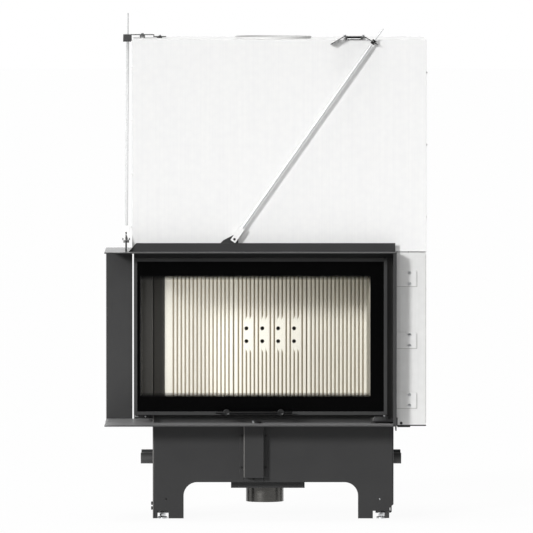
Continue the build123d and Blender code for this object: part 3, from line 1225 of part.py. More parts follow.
def tie_rod_lugs():
    """Two upright lugs on the upper ledge, bored for the pins."""
    front_y = (FRONT_ROD_Y - LUG_THICK / 2, FRONT_ROD_Y + LUG_THICK / 2)
    front = front_plate(lug_outline(FRONT_BOLT_X), front_y[0], LUG_THICK)
    front -= rod((FRONT_BOLT_X, front_y[0], ROD_BOLT_Z), (FRONT_BOLT_X, front_y[1], ROD_BOLT_Z), PIN_RADIUS)
    side_x = (SIDE_ROD_X - LUG_THICK / 2, SIDE_ROD_X + LUG_THICK / 2)
    side = side_plate(lug_outline(SIDE_BOLT_Y), side_x[0], LUG_THICK)
    side -= rod((side_x[0], SIDE_BOLT_Y, ROD_BOLT_Z), (side_x[1], SIDE_BOLT_Y, ROD_BOLT_Z), PIN_RADIUS)
    return [front, side]


def tab_levels(place):
    """Top of the joggled tab at a place measured from its bracket."""
    return -TAB_STEP if place > TAB_LENGTH else 0.0


def tie_rod_brackets():
    """Two bent brackets over the top plate: sloping legs for the rod and a joggled tab with its spacers."""
    brackets = []
    half = ROD_BRACKET_FLAT / 2
    edge = ROD_BRACKET_WIDTH / 2
    sheet = ROD_BRACKET_SHEET
    spread = (-half + BEND_RADIUS / 2, half - BEND_RADIUS / 2)
    first = (edge, edge + TAB_LENGTH)
    last = (first[1], first[1] + TAB_END_LENGTH)
    feet = HOUSING_TOP - ROD_BRACKET_TOP
    section = Plane(origin=(0, edge, 0), x_dir=(1, 0, 0), z_dir=(0, -1, 0))
    for (frame, way, bolts, (run, drop)), (rod_frame, length) in zip(bracket_frames(), rod_frames()):
        line = [(half + run, -drop), (half, 0), (-half, 0), (-half - run, -drop)]
        body = extrude(section * bent_strip(line, sheet, BEND_RADIUS), ROD_BRACKET_WIDTH, dir=(0, -1, 0))
        tab = block(spread, first, (-sheet, 0))
        tab += block(spread, (last[0], last[0] + sheet), (-TAB_STEP - sheet, 0))
        tab += block(spread, last, (-TAB_STEP - sheet, -TAB_STEP))
        for x, place in bolts:
            under = tab_levels(place) - sheet
            tab += Pos(x, edge + place, feet) * Cylinder(TAB_SPACER_RADIUS, under - feet, align=UPRIGHT)
        if way < 0:
            tab = mirror(tab, about=Plane.XZ)
        bore = rod_frame * Cylinder(ROD_THREAD_RADIUS + ROD_HOLE, 2 * length)
        brackets.append(frame * (body + tab) - bore)
    return brackets


def tie_rod_fasteners():
    """Pins of the forks, the two nuts that hold each rod to its bracket, and the heads of the tabs' bolts."""
    pieces = []
    reach = CLEVIS_WIDTH / 2 + PIN_HEAD
    hexagon = RegularPolygon(ROD_NUT_WIDTH / 2, 6, major_radius=False) - Circle(ROD_THREAD_RADIUS)
    head = extrude(RegularPolygon(TAB_BOLT_WIDTH / 2, 6, major_radius=False), TAB_BOLT_HEAD)
    for (frame, _), (top, way, bolts, leg) in zip(rod_frames(), bracket_frames()):
        pieces.append(frame * Rot(0, 90, 0) * Cylinder(PIN_RADIUS, 2 * reach))
        for start in nut_starts(frame, top, leg):
            pieces.append(frame * Pos(0, 0, start) * extrude(hexagon, ROD_NUT_HEIGHT))
        for x, place in bolts:
            y = way * (ROD_BRACKET_WIDTH / 2 + place)
            pieces.append(top * Pos(x, y, tab_levels(place)) * head)
    return pieces


def fasteners():
    """All bolts, nuts and screws that show."""
    return base_bolts() + cover_screws() + tie_rod_fasteners()


# ---- one file for each node ----------------------------------------------------------------------

NODES = [
    base_front_plate, base_rear_plate, base_side_plates, carrying_stubs, foot_brackets, air_box, air_spigot,
    air_duct_cover, air_lever, air_slide, lower_ledge, sill_band, upper_ledge, hood_plate, wing_panel,
    right_frame_plate, firebox_floor_pan, firebox_back_wall, firebox_right_wall, rear_left_post, inner_lintel,
    smoke_dome, flue_collar, back_lining, right_lining, floor_lining, baffle_plates, upper_front_cover,
    upper_left_cover, right_cover, lower_right_cover, rear_cover, top_plate, duct_plates, cover_brackets,
    guide_rails, sheave_brackets, lift_cables, sheave_right, sheave_left, counterweight_right,
    counterweight_left, leaf_frame, leaf_glass, leaf_seal, leaf_handle, side_frame, side_glass, side_seal,
    door_carriage, guide_shoes, tie_rods, tie_rod_clevises, tie_rod_lugs, tie_rod_brackets, fasteners,
]


def save(name, solids):
    """Write one node's solids to its own file."""
    group = solids if isinstance(solids, list) else [solids]
    export_step(Compound(children=[solid for part in group for solid in part.solids()]), f"parts/{name}.step")


def main():
    """Build every node and write it."""
    os.makedirs("parts", exist_ok=True)
    for make in NODES:
        save(make.__name__, make())
    for row, y in zip(("front", "rear"), foot_depths()):
        for side, x in (("left", FOOT_LEFT_X), ("right", FOOT_RIGHT_X)):
            save(f"foot_{row}_{side}", levelling_foot(x, y))


main()
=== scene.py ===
"""Corner fireplace insert with a lifting glass door: studio, finishes and fine pieces over its CAD frame."""
import logging
import math
from dataclasses import dataclass, field
from enum import Enum
from typing import Any, Iterable, Optional, Sequence

import bmesh
import bpy
import numpy as np
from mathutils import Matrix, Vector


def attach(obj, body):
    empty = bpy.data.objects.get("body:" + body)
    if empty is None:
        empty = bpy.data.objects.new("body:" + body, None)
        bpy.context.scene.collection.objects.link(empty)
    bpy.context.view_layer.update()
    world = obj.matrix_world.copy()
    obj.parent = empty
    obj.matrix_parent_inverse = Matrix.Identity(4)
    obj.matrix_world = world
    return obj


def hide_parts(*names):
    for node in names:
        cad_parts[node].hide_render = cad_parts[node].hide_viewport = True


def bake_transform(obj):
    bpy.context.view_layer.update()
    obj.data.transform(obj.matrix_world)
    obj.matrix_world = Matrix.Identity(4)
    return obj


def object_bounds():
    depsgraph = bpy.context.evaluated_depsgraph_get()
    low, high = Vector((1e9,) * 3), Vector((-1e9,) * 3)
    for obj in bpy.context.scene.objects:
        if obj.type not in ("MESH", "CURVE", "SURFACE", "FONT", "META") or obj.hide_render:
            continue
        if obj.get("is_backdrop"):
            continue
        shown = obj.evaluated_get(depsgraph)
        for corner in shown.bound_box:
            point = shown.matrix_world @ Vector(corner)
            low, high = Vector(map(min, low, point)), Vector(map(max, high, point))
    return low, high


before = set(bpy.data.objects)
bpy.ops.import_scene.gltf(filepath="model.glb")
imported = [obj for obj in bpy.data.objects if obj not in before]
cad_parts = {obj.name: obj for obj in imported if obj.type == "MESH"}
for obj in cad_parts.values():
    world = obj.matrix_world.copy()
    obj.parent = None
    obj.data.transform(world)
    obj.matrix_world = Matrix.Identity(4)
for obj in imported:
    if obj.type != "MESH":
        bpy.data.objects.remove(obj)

LOG = logging.getLogger("fireplace_insert")
MM = 0.001
QUARTER = math.pi / 2.0
DOUBLES = 1e-6            # distance in metres below which two points become one
THINNEST_ROUND = 0.05     # radius in millimetres that an unrounded box still gets
Array = np.ndarray
Shape = tuple[np.ndarray, np.ndarray]    # points in millimetres, and rows of four point numbers
Floats = Sequence[float]
Material = bpy.types.Material
Tree = bpy.types.NodeTree
Socket = bpy.types.NodeSocket
WHITE = (1.0, 1.0, 1.0, 1.0)
FORWARD, LEFT, RIGHT, UP = (0.0, -1.0, 0.0), (-1.0, 0.0, 0.0), (1.0, 0.0, 0.0), (0.0, 0.0, 1.0)


# ---- colour and node helpers -------------------------------------------------------------------
def linear(code: str) -> tuple[float, float, float, float]:
    """Turns an sRGB hex colour into linear light.

    Args:
        code: Colour as "#rrggbb".

    Returns:
        Red, green, blue and alpha, where c = s / 12.92 below 0.04045 and ((s + 0.055) / 1.055) ** 2.4 above.
    """
    s = np.array([int(code[i:i + 2], 16) for i in (1, 3, 5)]) / 255.0
    c = np.where(s <= 0.04045, s / 12.92, ((s + 0.055) / 1.055) ** 2.4)
    return (float(c[0]), float(c[1]), float(c[2]), 1.0)


def add_node(tree: Tree, kind: str, settings: Optional[dict[Any, Any]] = None,
             links: Optional[dict[Any, Socket]] = None) -> bpy.types.Node:
    """Adds one node with its settings and links.

    Args:
        tree: Node tree of the material or world.
        kind: Type of the node, without the "ShaderNode" that every name of this kind starts with.
        settings: Attribute names, or input names or numbers, with the value each one gets.
        links: Input names or numbers with the output socket that feeds each one.

    Returns:
        The new node.
    """
    node = tree.nodes.new("ShaderNode" + kind)
    for key, value in (settings or {}).items():
        if isinstance(key, str) and key not in node.inputs and hasattr(node, key):
            setattr(node, key, value)
        else:
            node.inputs[key].default_value = value
    for key, socket in (links or {}).items():
        tree.links.new(socket, node.inputs[key])
    return node


# ---- mesh helpers ------------------------------------------------------------------------------
def grid_quads(rows: int, columns: int, close_rows: bool = False, close_columns: bool = False,
               first: int = 0) -> Array:
    """Quads of a grid of points stored row by row.

    The quad at (i, j) joins (i, j), (i, j+1), (i+1, j+1) and (i+1, j), counted modulo a closed direction.

    Args:
        rows: Number of rows of points.
        columns: Number of points in a row.
        close_rows: Joins the last row to the first.
        close_columns: Joins the last column to the first.
        first: Number of the grid's first point.

    Returns:
        One row of four point numbers for each quad.
    """
    i, j = np.meshgrid(np.arange(rows - (not close_rows)), np.arange(columns - (not close_columns)),
                       indexing="ij")
    i2, j2 = (i + 1) % rows, (j + 1) % columns
    corners = (i * columns + j, i * columns + j2, i2 * columns + j2, i2 * columns + j)
    return np.stack([c.ravel() for c in corners], axis=1) + first


def lathe(profile: Sequence[tuple[float, float]], centre: Floats, axis: str = "z",
          turns: int = 32) -> Shape:
    """Surface of revolution, closed where the profile starts and ends on the axis.

    A point is centre + r (cos t, sin t) across the axis + h along it, for each (r, h) and turn t.

    Args:
        profile: Radius and height of each point in millimetres, from one end to the other.
        centre: Point on the axis in millimetres.
        axis: "x", "y" or "z", the direction of growing height.
        turns: Points round the axis.

    Returns:
        Points in millimetres and quads.
    """
    r, h = np.array(profile, float).T
    t = np.linspace(0.0, math.tau, turns, endpoint=False)
    across = np.stack([np.outer(r, np.cos(t)), np.outer(r, np.sin(t)), np.outer(h, np.ones(turns))], axis=-1)
    order = {"x": (2, 0, 1), "y": (1, 2, 0), "z": (0, 1, 2)}[axis]
    points = across.reshape(-1, 3)[:, order] + np.array(centre, float)
    return points, grid_quads(len(r), turns, close_columns=True)


def rounded(low: Floats, high: Floats, radius: float, steps: int, inset: float = 0.0) -> Array:
    """Rounded rectangle: each corner centre plus (r - inset) (cos t, sin t) over a quarter turn.

    Args:
        low: Lowest corner.
        high: Highest corner.
        radius: Radius of the corners.
        steps: Points in each quarter turn.
        inset: Distance by which the outline steps in.

    Returns:
        The outline as rows of two numbers.
    """
    t = np.linspace(0.0, QUARTER, steps)
    t = (t[None, :] + np.arange(4)[:, None] * QUARTER).ravel()
    u = np.repeat([high[0] - radius, low[0] + radius, low[0] + radius, high[0] - radius], steps)
    w = np.repeat([high[1] - radius, high[1] - radius, low[1] + radius, low[1] + radius], steps)
    return np.stack([u + (radius - inset) * np.cos(t), w + (radius - inset) * np.sin(t)], axis=1)


def joined(parts: Iterable[Shape]) -> Shape:
    """Joins several shapes into one, each one's quads counted after the points before it.

    Args:
        parts: The shapes.

    Returns:
        Points in millimetres and quads.
    """
    pairs = list(parts)
    starts = np.cumsum([0] + [len(p) for p, _ in pairs[:-1]])
    return np.concatenate([p for p, _ in pairs]), np.concatenate([q + s for (_, q), s in zip(pairs, starts)])


def new_piece(name: str, shape: Shape, finish: Material, body: str,
              instead_of: Sequence[str] = (), smooth: bool = True,
              uv: Optional[Array] = None, sharp: float = 35.0) -> bpy.types.Object:
    """Puts a surface into the scene with its doubles merged and its faces turned outwards.

    Args:
        name: Name of the piece.
        shape: Points in millimetres and quads.
        finish: Material of the piece.
        body: CAD body it moves with, or "" for a piece that is attached to none.
        instead_of: CAD nodes that it stands for.
        smooth: Shades it smooth, with edges above the sharp angle kept.
        uv: Texture place of each point in millimetres, where a pattern follows the surface.
        sharp: Angle in degrees from which an edge stays hard.

    Returns:
        The new object, at the origin.
    """
    points, quads = shape
    mesh = bpy.data.meshes.new(name)
    mesh.from_pydata((points * MM).tolist(), [], quads.tolist())
    if uv is not None:
        layer = mesh.uv_layers.new(name="surface")
        layer.data.foreach_set("uv", (uv[quads.ravel()] * MM).astype(np.float32).ravel())
    settle(mesh, smooth, sharp)
    mesh.materials.append(finish)
    piece = bpy.data.objects.new(name, mesh)
    bpy.context.scene.collection.objects.link(piece)
    if body:
        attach(piece, body)
    if instead_of:
        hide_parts(*instead_of)
    return piece


def settle(mesh: bpy.types.Mesh, smooth: bool, sharp: float) -> None:
    """Merges doubles, turns the faces outwards and marks hard edges.

    Args:
        mesh: Mesh to settle.
        smooth: Shades the faces smooth.
        sharp: Angle in degrees from which an edge stays hard.
    """
    work = bmesh.new()
    work.from_mesh(mesh)
    bmesh.ops.remove_doubles(work, verts=work.verts, dist=DOUBLES)
    bmesh.ops.recalc_face_normals(work, faces=work.faces)
    work.to_mesh(mesh)
    work.free()
    mesh.shade_smooth() if smooth else mesh.shade_flat()
    if smooth:
        mesh.set_sharp_from_angle(angle=math.radians(sharp))


def box(low: Floats, high: Floats, round_by: float = 0.0, steps: int = 3) -> Shape:
    """Box with its upright edges rounded, closed by its own rings.

    Rings at the ends step in by r / 3 and then to the middle, so that the rims are eased and the ends closed.

    Args:
        low: Lowest corner in millimetres.
        high: Highest corner in millimetres.
        round_by: Radius of the upright edges.
        steps: Points in each quarter turn.

    Returns:
        Points in millimetres and quads.
    """
    lo, hi = np.array(low, float), np.array(high, float)
    r = max(round_by, THINNEST_ROUND)
    ease = min(r / 3.0, (hi[2] - lo[2]) / 4.0)
    middle = ((lo + hi) / 2.0)[:2]
    rings = []
    for z, inset, keep in ((lo[2], ease, 0.0), (lo[2], ease, 1.0), (lo[2] + ease, 0.0, 1.0),
                           (hi[2] - ease, 0.0, 1.0), (hi[2], ease, 1.0), (hi[2], ease, 0.0)):
        flat = middle + (rounded(lo, hi, r, steps, inset) - middle) * keep
        rings.append(np.column_stack([flat, np.full(len(flat), z)]))
    return np.concatenate(rings), grid_quads(len(rings), 4 * steps, close_columns=True)


# ---- finishes ----------------------------------------------------------------------------------
@dataclass(frozen=True)
class Finish:
    """A named finish. Each kind below builds its own surface."""

    name: str

    def surface(self, tree: Tree) -> Socket:
        """Each kind returns its shader's output socket here."""
        raise NotImplementedError(self.name)

    def material(self) -> Material:
        """Makes an empty node material and feeds its output with the surface.

        Returns:
            The node material.
        """
        material = bpy.data.materials.new(self.name)
        material.use_nodes = True
        tree = material.node_tree
        tree.nodes.clear()
        add_node(tree, "OutputMaterial", links={"Surface": self.surface(tree)})
        return material


@dataclass(frozen=True)
class StovePaint(Finish):
    """High-temperature stove paint sprayed on steel sheet.

    Matt and nearly black, with the fine dry grain of sprayed paint and a soft sheen where light grazes it.
    """

    colour: str = "#2e2e2f"
    second_tone: str = "#343434"
    roughness: float = 0.5
    grain_mm: float = 1.6
    grain_height_mm: float = 0.05
    sheen: float = 0.2

    def surface(self, tree: Tree) -> Socket:
        """Noise of the spray grain in bump, and slow clouds in colour and roughness.

        Args:
            tree: Node tree of the material.

        Returns:
            The shader's output.
        """
        place = add_node(tree, "TexCoord").outputs["Object"]
        # The grain is 0.2 mm on the real paint and is drawn coarser, so that it shows.
        grain = add_node(tree, "TexNoise",
                         {"Scale": 1.0 / (self.grain_mm * MM), "Detail": 3.0, "Roughness": 0.6},
                         {"Vector": place})
        clouds = add_node(tree, "TexNoise", {"Scale": 9.0, "Detail": 4.0, "Roughness": 0.55},
                          {"Vector": place})
        tint = add_node(tree, "Mix",
                        {"data_type": "RGBA", 6: linear(self.colour), 7: linear(self.second_tone)},
                        {0: clouds.outputs["Fac"]})
        rough = add_node(tree, "MapRange",
                         {"From Min": 0.3, "From Max": 0.7, "To Min": self.roughness - 0.05,
                          "To Max": self.roughness + 0.05}, {"Value": clouds.outputs["Fac"]})
        bump = add_node(tree, "Bump", {"Strength": 0.35, "Distance": self.grain_height_mm * MM},
                        {"Height": grain.outputs["Fac"]})
        shader = add_node(tree, "BsdfPrincipled",
                          {"IOR": 1.5, "Sheen Weight": self.sheen, "Sheen Roughness": 0.35},
                          {"Base Color": tint.outputs[2], "Roughness": rough.outputs["Result"],
                           "Normal": bump.outputs["Normal"]})
        return shader.outputs["BSDF"]


@dataclass(frozen=True)
class GalvanisedSheet(Finish):
    """Hot-dip galvanised steel sheet with a pale passivated skin.

    Almost white in even light, with faint rolled streaks along the sheet and small soft patches of zinc.
    """

    colour: str = "#ececeb"
    patch: str = "#e7e7e7"
    metallic: float = 0.0
    roughness: float = 0.5
    patch_mm: float = 22.0

    def surface(self, tree: Tree) -> Socket:
        """Cells of the zinc skin and stretched noise of the rolling in colour and roughness.

        Args:
            tree: Node tree of the material.

        Returns:
            The shader's output.
        """
        place = add_node(tree, "TexCoord").outputs["Object"]
        cells = add_node(tree, "TexVoronoi", {"Scale": 1.0 / (self.patch_mm * MM), "Randomness": 1.0},
                         {"Vector": place})
        stretch = add_node(tree, "Mapping", {"Scale": (160.0, 160.0, 2.0)},
                           {"Vector": place})
        streaks = add_node(tree, "TexNoise", {"Scale": 1.0, "Detail": 3.0},
                           {"Vector": stretch.outputs["Vector"]})
        share = add_node(tree, "Math", {"operation": "MULTIPLY", 1: 0.5},
                         {0: cells.outputs["Distance"]})
        both = add_node(tree, "Math", {"operation": "ADD"},
                        {0: share.outputs[0], 1: streaks.outputs["Fac"]})
        spread = add_node(tree, "MapRange", {"From Min": 0.4, "From Max": 1.1},
                          {"Value": both.outputs[0]})
        tint = add_node(tree, "Mix",
                        {"data_type": "RGBA", 6: linear(self.colour), 7: linear(self.patch)},
                        {0: spread.outputs["Result"]})
        rough = add_node(tree, "MapRange",
                         {"To Min": self.roughness - 0.06, "To Max": self.roughness + 0.08},
                         {"Value": spread.outputs["Result"]})
        bump = add_node(tree, "Bump", {"Strength": 0.12, "Distance": 0.02 * MM},
                        {"Height": streaks.outputs["Fac"]})
        shader = add_node(tree, "BsdfPrincipled", {"Metallic": self.metallic},
                          {"Base Color": tint.outputs[2], "Roughness": rough.outputs["Result"],
                           "Normal": bump.outputs["Normal"]})
        return shader.outputs["BSDF"]


@dataclass(frozen=True)
class BrightMetal(Finish):
    """Bare or plated metal, such as zinc-plated bolts, turned brass or milled steel.

    A clear mirror-like sheen broken by fine tool marks along one axis.
    """

    colour: str = "#c9cacb"
    dull: str = "#a9abad"
    roughness: float = 0.28
    marks: tuple[float, float, float] = (700.0, 700.0, 40.0)

    def surface(self, tree: Tree) -> Socket:
        """Stretched noise of the tool marks in colour, roughness and bump.

        Args:
            tree: Node tree of the material.

        Returns:
            The shader's output.
        """
        place = add_node(tree, "TexCoord").outputs["Object"]
        stretch = add_node(tree, "Mapping", {"Scale": self.marks},
                           {"Vector": place})
        marks = add_node(tree, "TexNoise", {"Scale": 1.0, "Detail": 2.0},
                         {"Vector": stretch.outputs["Vector"]})
        stain = add_node(tree, "TexNoise", {"Scale": 45.0, "Detail": 4.0},
                         {"Vector": place})
        tint = add_node(tree, "Mix",
                        {"data_type": "RGBA", 6: linear(self.colour), 7: linear(self.dull)},
                        {0: stain.outputs["Fac"]})
        rough = add_node(tree, "MapRange",
                         {"From Min": 0.3, "From Max": 0.7, "To Min": self.roughness - 0.06,
                          "To Max": self.roughness + 0.1}, {"Value": marks.outputs["Fac"]})
        bump = add_node(tree, "Bump", {"Strength": 0.15, "Distance": 0.03 * MM},
                        {"Height": marks.outputs["Fac"]})
        shader = add_node(tree, "BsdfPrincipled", {"Metallic": 1.0},
                          {"Base Color": tint.outputs[2], "Roughness": rough.outputs["Result"],
                           "Normal": bump.outputs["Normal"]})
        return shader.outputs["BSDF"]


@dataclass(frozen=True)
class CastLining(Finish):
    """Fire lining of pressed vermiculite, or a similar cream ceramic.

    Dead matt and warm white, with a fine sandy tooth and a few darker grains.
    """

    colour: str = "#f7f5ee"
    grain: str = "#e6e1d5"
    grain_mm: float = 2.2
    # Painted shade: the colour the groove floors darken to, between the two depths of groove_shade_mm.
    groove: str = "#b7ad9c"
    groove_shade_mm: tuple[float, float] = (0.0, 0.0)

    def surface(self, tree: Tree) -> Socket:
        """Sandy noise in colour and bump, and sparse cells for the darker grains.

        Between the two depths of groove_shade_mm the colour darkens to the groove colour, a painted shade on
        the groove floors.

        Args:
            tree: Node tree of the material.

        Returns:
            The shader's output.
        """
        place = add_node(tree, "TexCoord").outputs["Object"]
        sand = add_node(tree, "TexNoise",
                        {"Scale": 1.0 / (self.grain_mm * MM), "Detail": 4.0, "Roughness": 0.65},
                        {"Vector": place})
        flakes = add_node(tree, "TexVoronoi", {"Scale": 1.0 / (self.grain_mm * 3.0 * MM)},
                          {"Vector": place})
        few = add_node(tree, "MapRange", {"From Min": 0.16, "From Max": 0.05, "To Max": 0.6},
                       {"Value": flakes.outputs["Distance"]})
        soft = add_node(tree, "MapRange", {"From Min": 0.35, "From Max": 0.75, "To Max": 0.5},
                        {"Value": sand.outputs["Fac"]})
        both = add_node(tree, "Math", {"operation": "MAXIMUM"},
                        {0: few.outputs["Result"], 1: soft.outputs["Result"]})
        tint = add_node(tree, "Mix",
                        {"data_type": "RGBA", 6: linear(self.colour), 7: linear(self.grain)},
                        {0: both.outputs[0]})
        colour = tint.outputs[2]
        # Painted shade: the deeper the surface lies, the more it takes the darker groove colour.
        if self.groove_shade_mm[1] > self.groove_shade_mm[0]:
            axes = add_node(tree, "SeparateXYZ", {}, {0: place})
            deep = add_node(tree, "MapRange",
                            {"From Min": self.groove_shade_mm[0] * MM, "From Max": self.groove_shade_mm[1] * MM},
                            {"Value": axes.outputs["Y"]})
            colour = add_node(tree, "Mix", {"data_type": "RGBA", 7: linear(self.groove)},
                              {0: deep.outputs["Result"], 6: colour}).outputs[2]
        bump = add_node(tree, "Bump", {"Strength": 0.3, "Distance": 0.15 * MM},
                        {"Height": sand.outputs["Fac"]})
        shader = add_node(tree, "BsdfPrincipled", {"Roughness": 0.92, "Specular IOR Level": 0.25},
                          {"Base Color": colour, "Normal": bump.outputs["Normal"]})
        return shader.outputs["BSDF"]


@dataclass(frozen=True)
class CeramicGlass(Finish):
    """Flat heat-resistant ceramic glass: clear, with a faint warm tint and clean reflections.

    Most of the light passes straight through, so what stands behind it stays bright and sharp.
    """

    tint: str = "#fefefd"
    gloss: float = 0.04

    def surface(self, tree: Tree) -> Socket:
        """A tinted transparent shader under a mirror that grows at grazing angles.

        Args:
            tree: Node tree of the material.

        Returns:
            The shader's output.
        """
        place = add_node(tree, "TexCoord").outputs["Object"]
        waves = add_node(tree, "TexNoise", {"Scale": 6.0, "Detail": 1.0},
                         {"Vector": place})
        bump = add_node(tree, "Bump", {"Strength": 0.03, "Distance": 1.0 * MM},
                        {"Height": waves.outputs["Fac"]})
        clear = add_node(tree, "BsdfTransparent", {"Color": linear(self.tint)})
        mirror = add_node(tree, "BsdfGlossy", {"Roughness": self.gloss},
                          {"Normal": bump.outputs["Normal"]})
        edge = add_node(tree, "Fresnel", {"IOR": 1.45}, {"Normal": bump.outputs["Normal"]})
        share = add_node(tree, "Math", {"operation": "MULTIPLY", 1: 0.6}, {0: edge.outputs[0]})
        both = add_node(tree, "MixShader", {},
                        {0: share.outputs[0], 1: clear.outputs[0], 2: mirror.outputs[0]})
        return both.outputs[0]


@dataclass(frozen=True)
class ScreenPrint(Finish):
    """Black ceramic ink fired on the inner face of the glass: deep, even black with a slight sheen."""

    colour: str = "#020202"
    pinhole: str = "#050506"

    def surface(self, tree: Tree) -> Socket:
        """Near-black ink with a faint cloud of pinholes in colour.

        Args:
            tree: Node tree of the material.

        Returns:
            The shader's output.
        """
        place = add_node(tree, "TexCoord").outputs["Object"]
        dots = add_node(tree, "TexNoise", {"Scale": 900.0, "Detail": 1.0},
                        {"Vector": place})
        tint = add_node(tree, "Mix",
                        {"data_type": "RGBA", 6: linear(self.colour), 7: linear(self.pinhole)},
                        {0: dots.outputs["Fac"]})
        shader = add_node(tree, "BsdfPrincipled", {"Roughness": 0.3, "Specular IOR Level": 0.05},
                          {"Base Color": tint.outputs[2]})
        return shader.outputs["BSDF"]


@dataclass(frozen=True)
class FibreRope(Finish):
    """Knitted glass-fibre seal, dyed grey: a soft braid whose two sets of yarns cross on the slant."""

    colour: str = "#4a4845"
    yarn_gap_shade: str = "#1d1c1b"
    yarn_mm: float = 2.4

    def surface(self, tree: Tree) -> Socket:
        """Two slanting bands in the surface's own UV, larger of the two in colour and bump.

        Args:
            tree: Node tree of the material.

        Returns:
            The shader's output.
        """
        place = add_node(tree, "UVMap", {"uv_map": "surface"})
        bands = []
        for slant in (0.7, -0.7):
            turned = add_node(tree, "Mapping", {"Rotation": (0.0, 0.0, slant)},
                              {"Vector": place.outputs["UV"]})
            bands.append(add_node(tree, "TexWave",
                                  {"Scale": 0.314 / (self.yarn_mm * MM), "Distortion": 0.4},
                                  {"Vector": turned.outputs["Vector"]}))
        braid = add_node(tree, "Math", {"operation": "MAXIMUM"},
                         {0: bands[0].outputs["Fac"], 1: bands[1].outputs["Fac"]})
        # Painted shade: the low parts of the braid, the spaces between the yarns, take the dark shade colour.
        tint = add_node(tree, "Mix",
                        {"data_type": "RGBA", 6: linear(self.yarn_gap_shade), 7: linear(self.colour)},
                        {0: braid.outputs[0]})
        bump = add_node(tree, "Bump", {"Strength": 0.8, "Distance": 0.4 * MM},
                        {"Height": braid.outputs[0]})
        shader = add_node(tree, "BsdfPrincipled", {"Roughness": 0.95, "Sheen Weight": 0.2},
                          {"Base Color": tint.outputs[2], "Normal": bump.outputs["Normal"]})
        return shader.outputs["BSDF"]


# ---- studio ------------------------------------------------------------------------------------
@dataclass(frozen=True)
class PlainFloor(Finish):
    """Pale matt studio floor that is white to the camera and keeps the shadow of the object."""

    name: str = "studio_floor"
    colour: str = "#f4f4f4"

    def surface(self, tree: Tree) -> Socket:
        """Builds the floor: a pale diffuse surface, lifted towards white for camera, mirror and glass rays.

        Args:
            tree: Node tree of the material.

        Returns:
            The shader's output.
        """
        path = add_node(tree, "LightPath")
        first = add_node(tree, "Math", {"operation": "MAXIMUM"},
                         {0: path.outputs["Is Camera Ray"], 1: path.outputs["Is Glossy Ray"]})
        seen = add_node(tree, "Math", {"operation": "MAXIMUM"},
                        {0: first.outputs[0], 1: path.outputs["Is Transmission Ray"]})
        share = add_node(tree, "Math", {"operation": "MULTIPLY", 1: 0.95}, {0: seen.outputs[0]})
        matt = add_node(tree, "BsdfDiffuse", {"Color": linear(self.colour)})
        lit = add_node(tree, "Emission", {"Color": WHITE, "Strength": 1.0})
        both = add_node(tree, "MixShader", {},
                        {0: share.outputs[0], 1: matt.outputs[0], 2: lit.outputs[0]})
        return both.outputs[0]


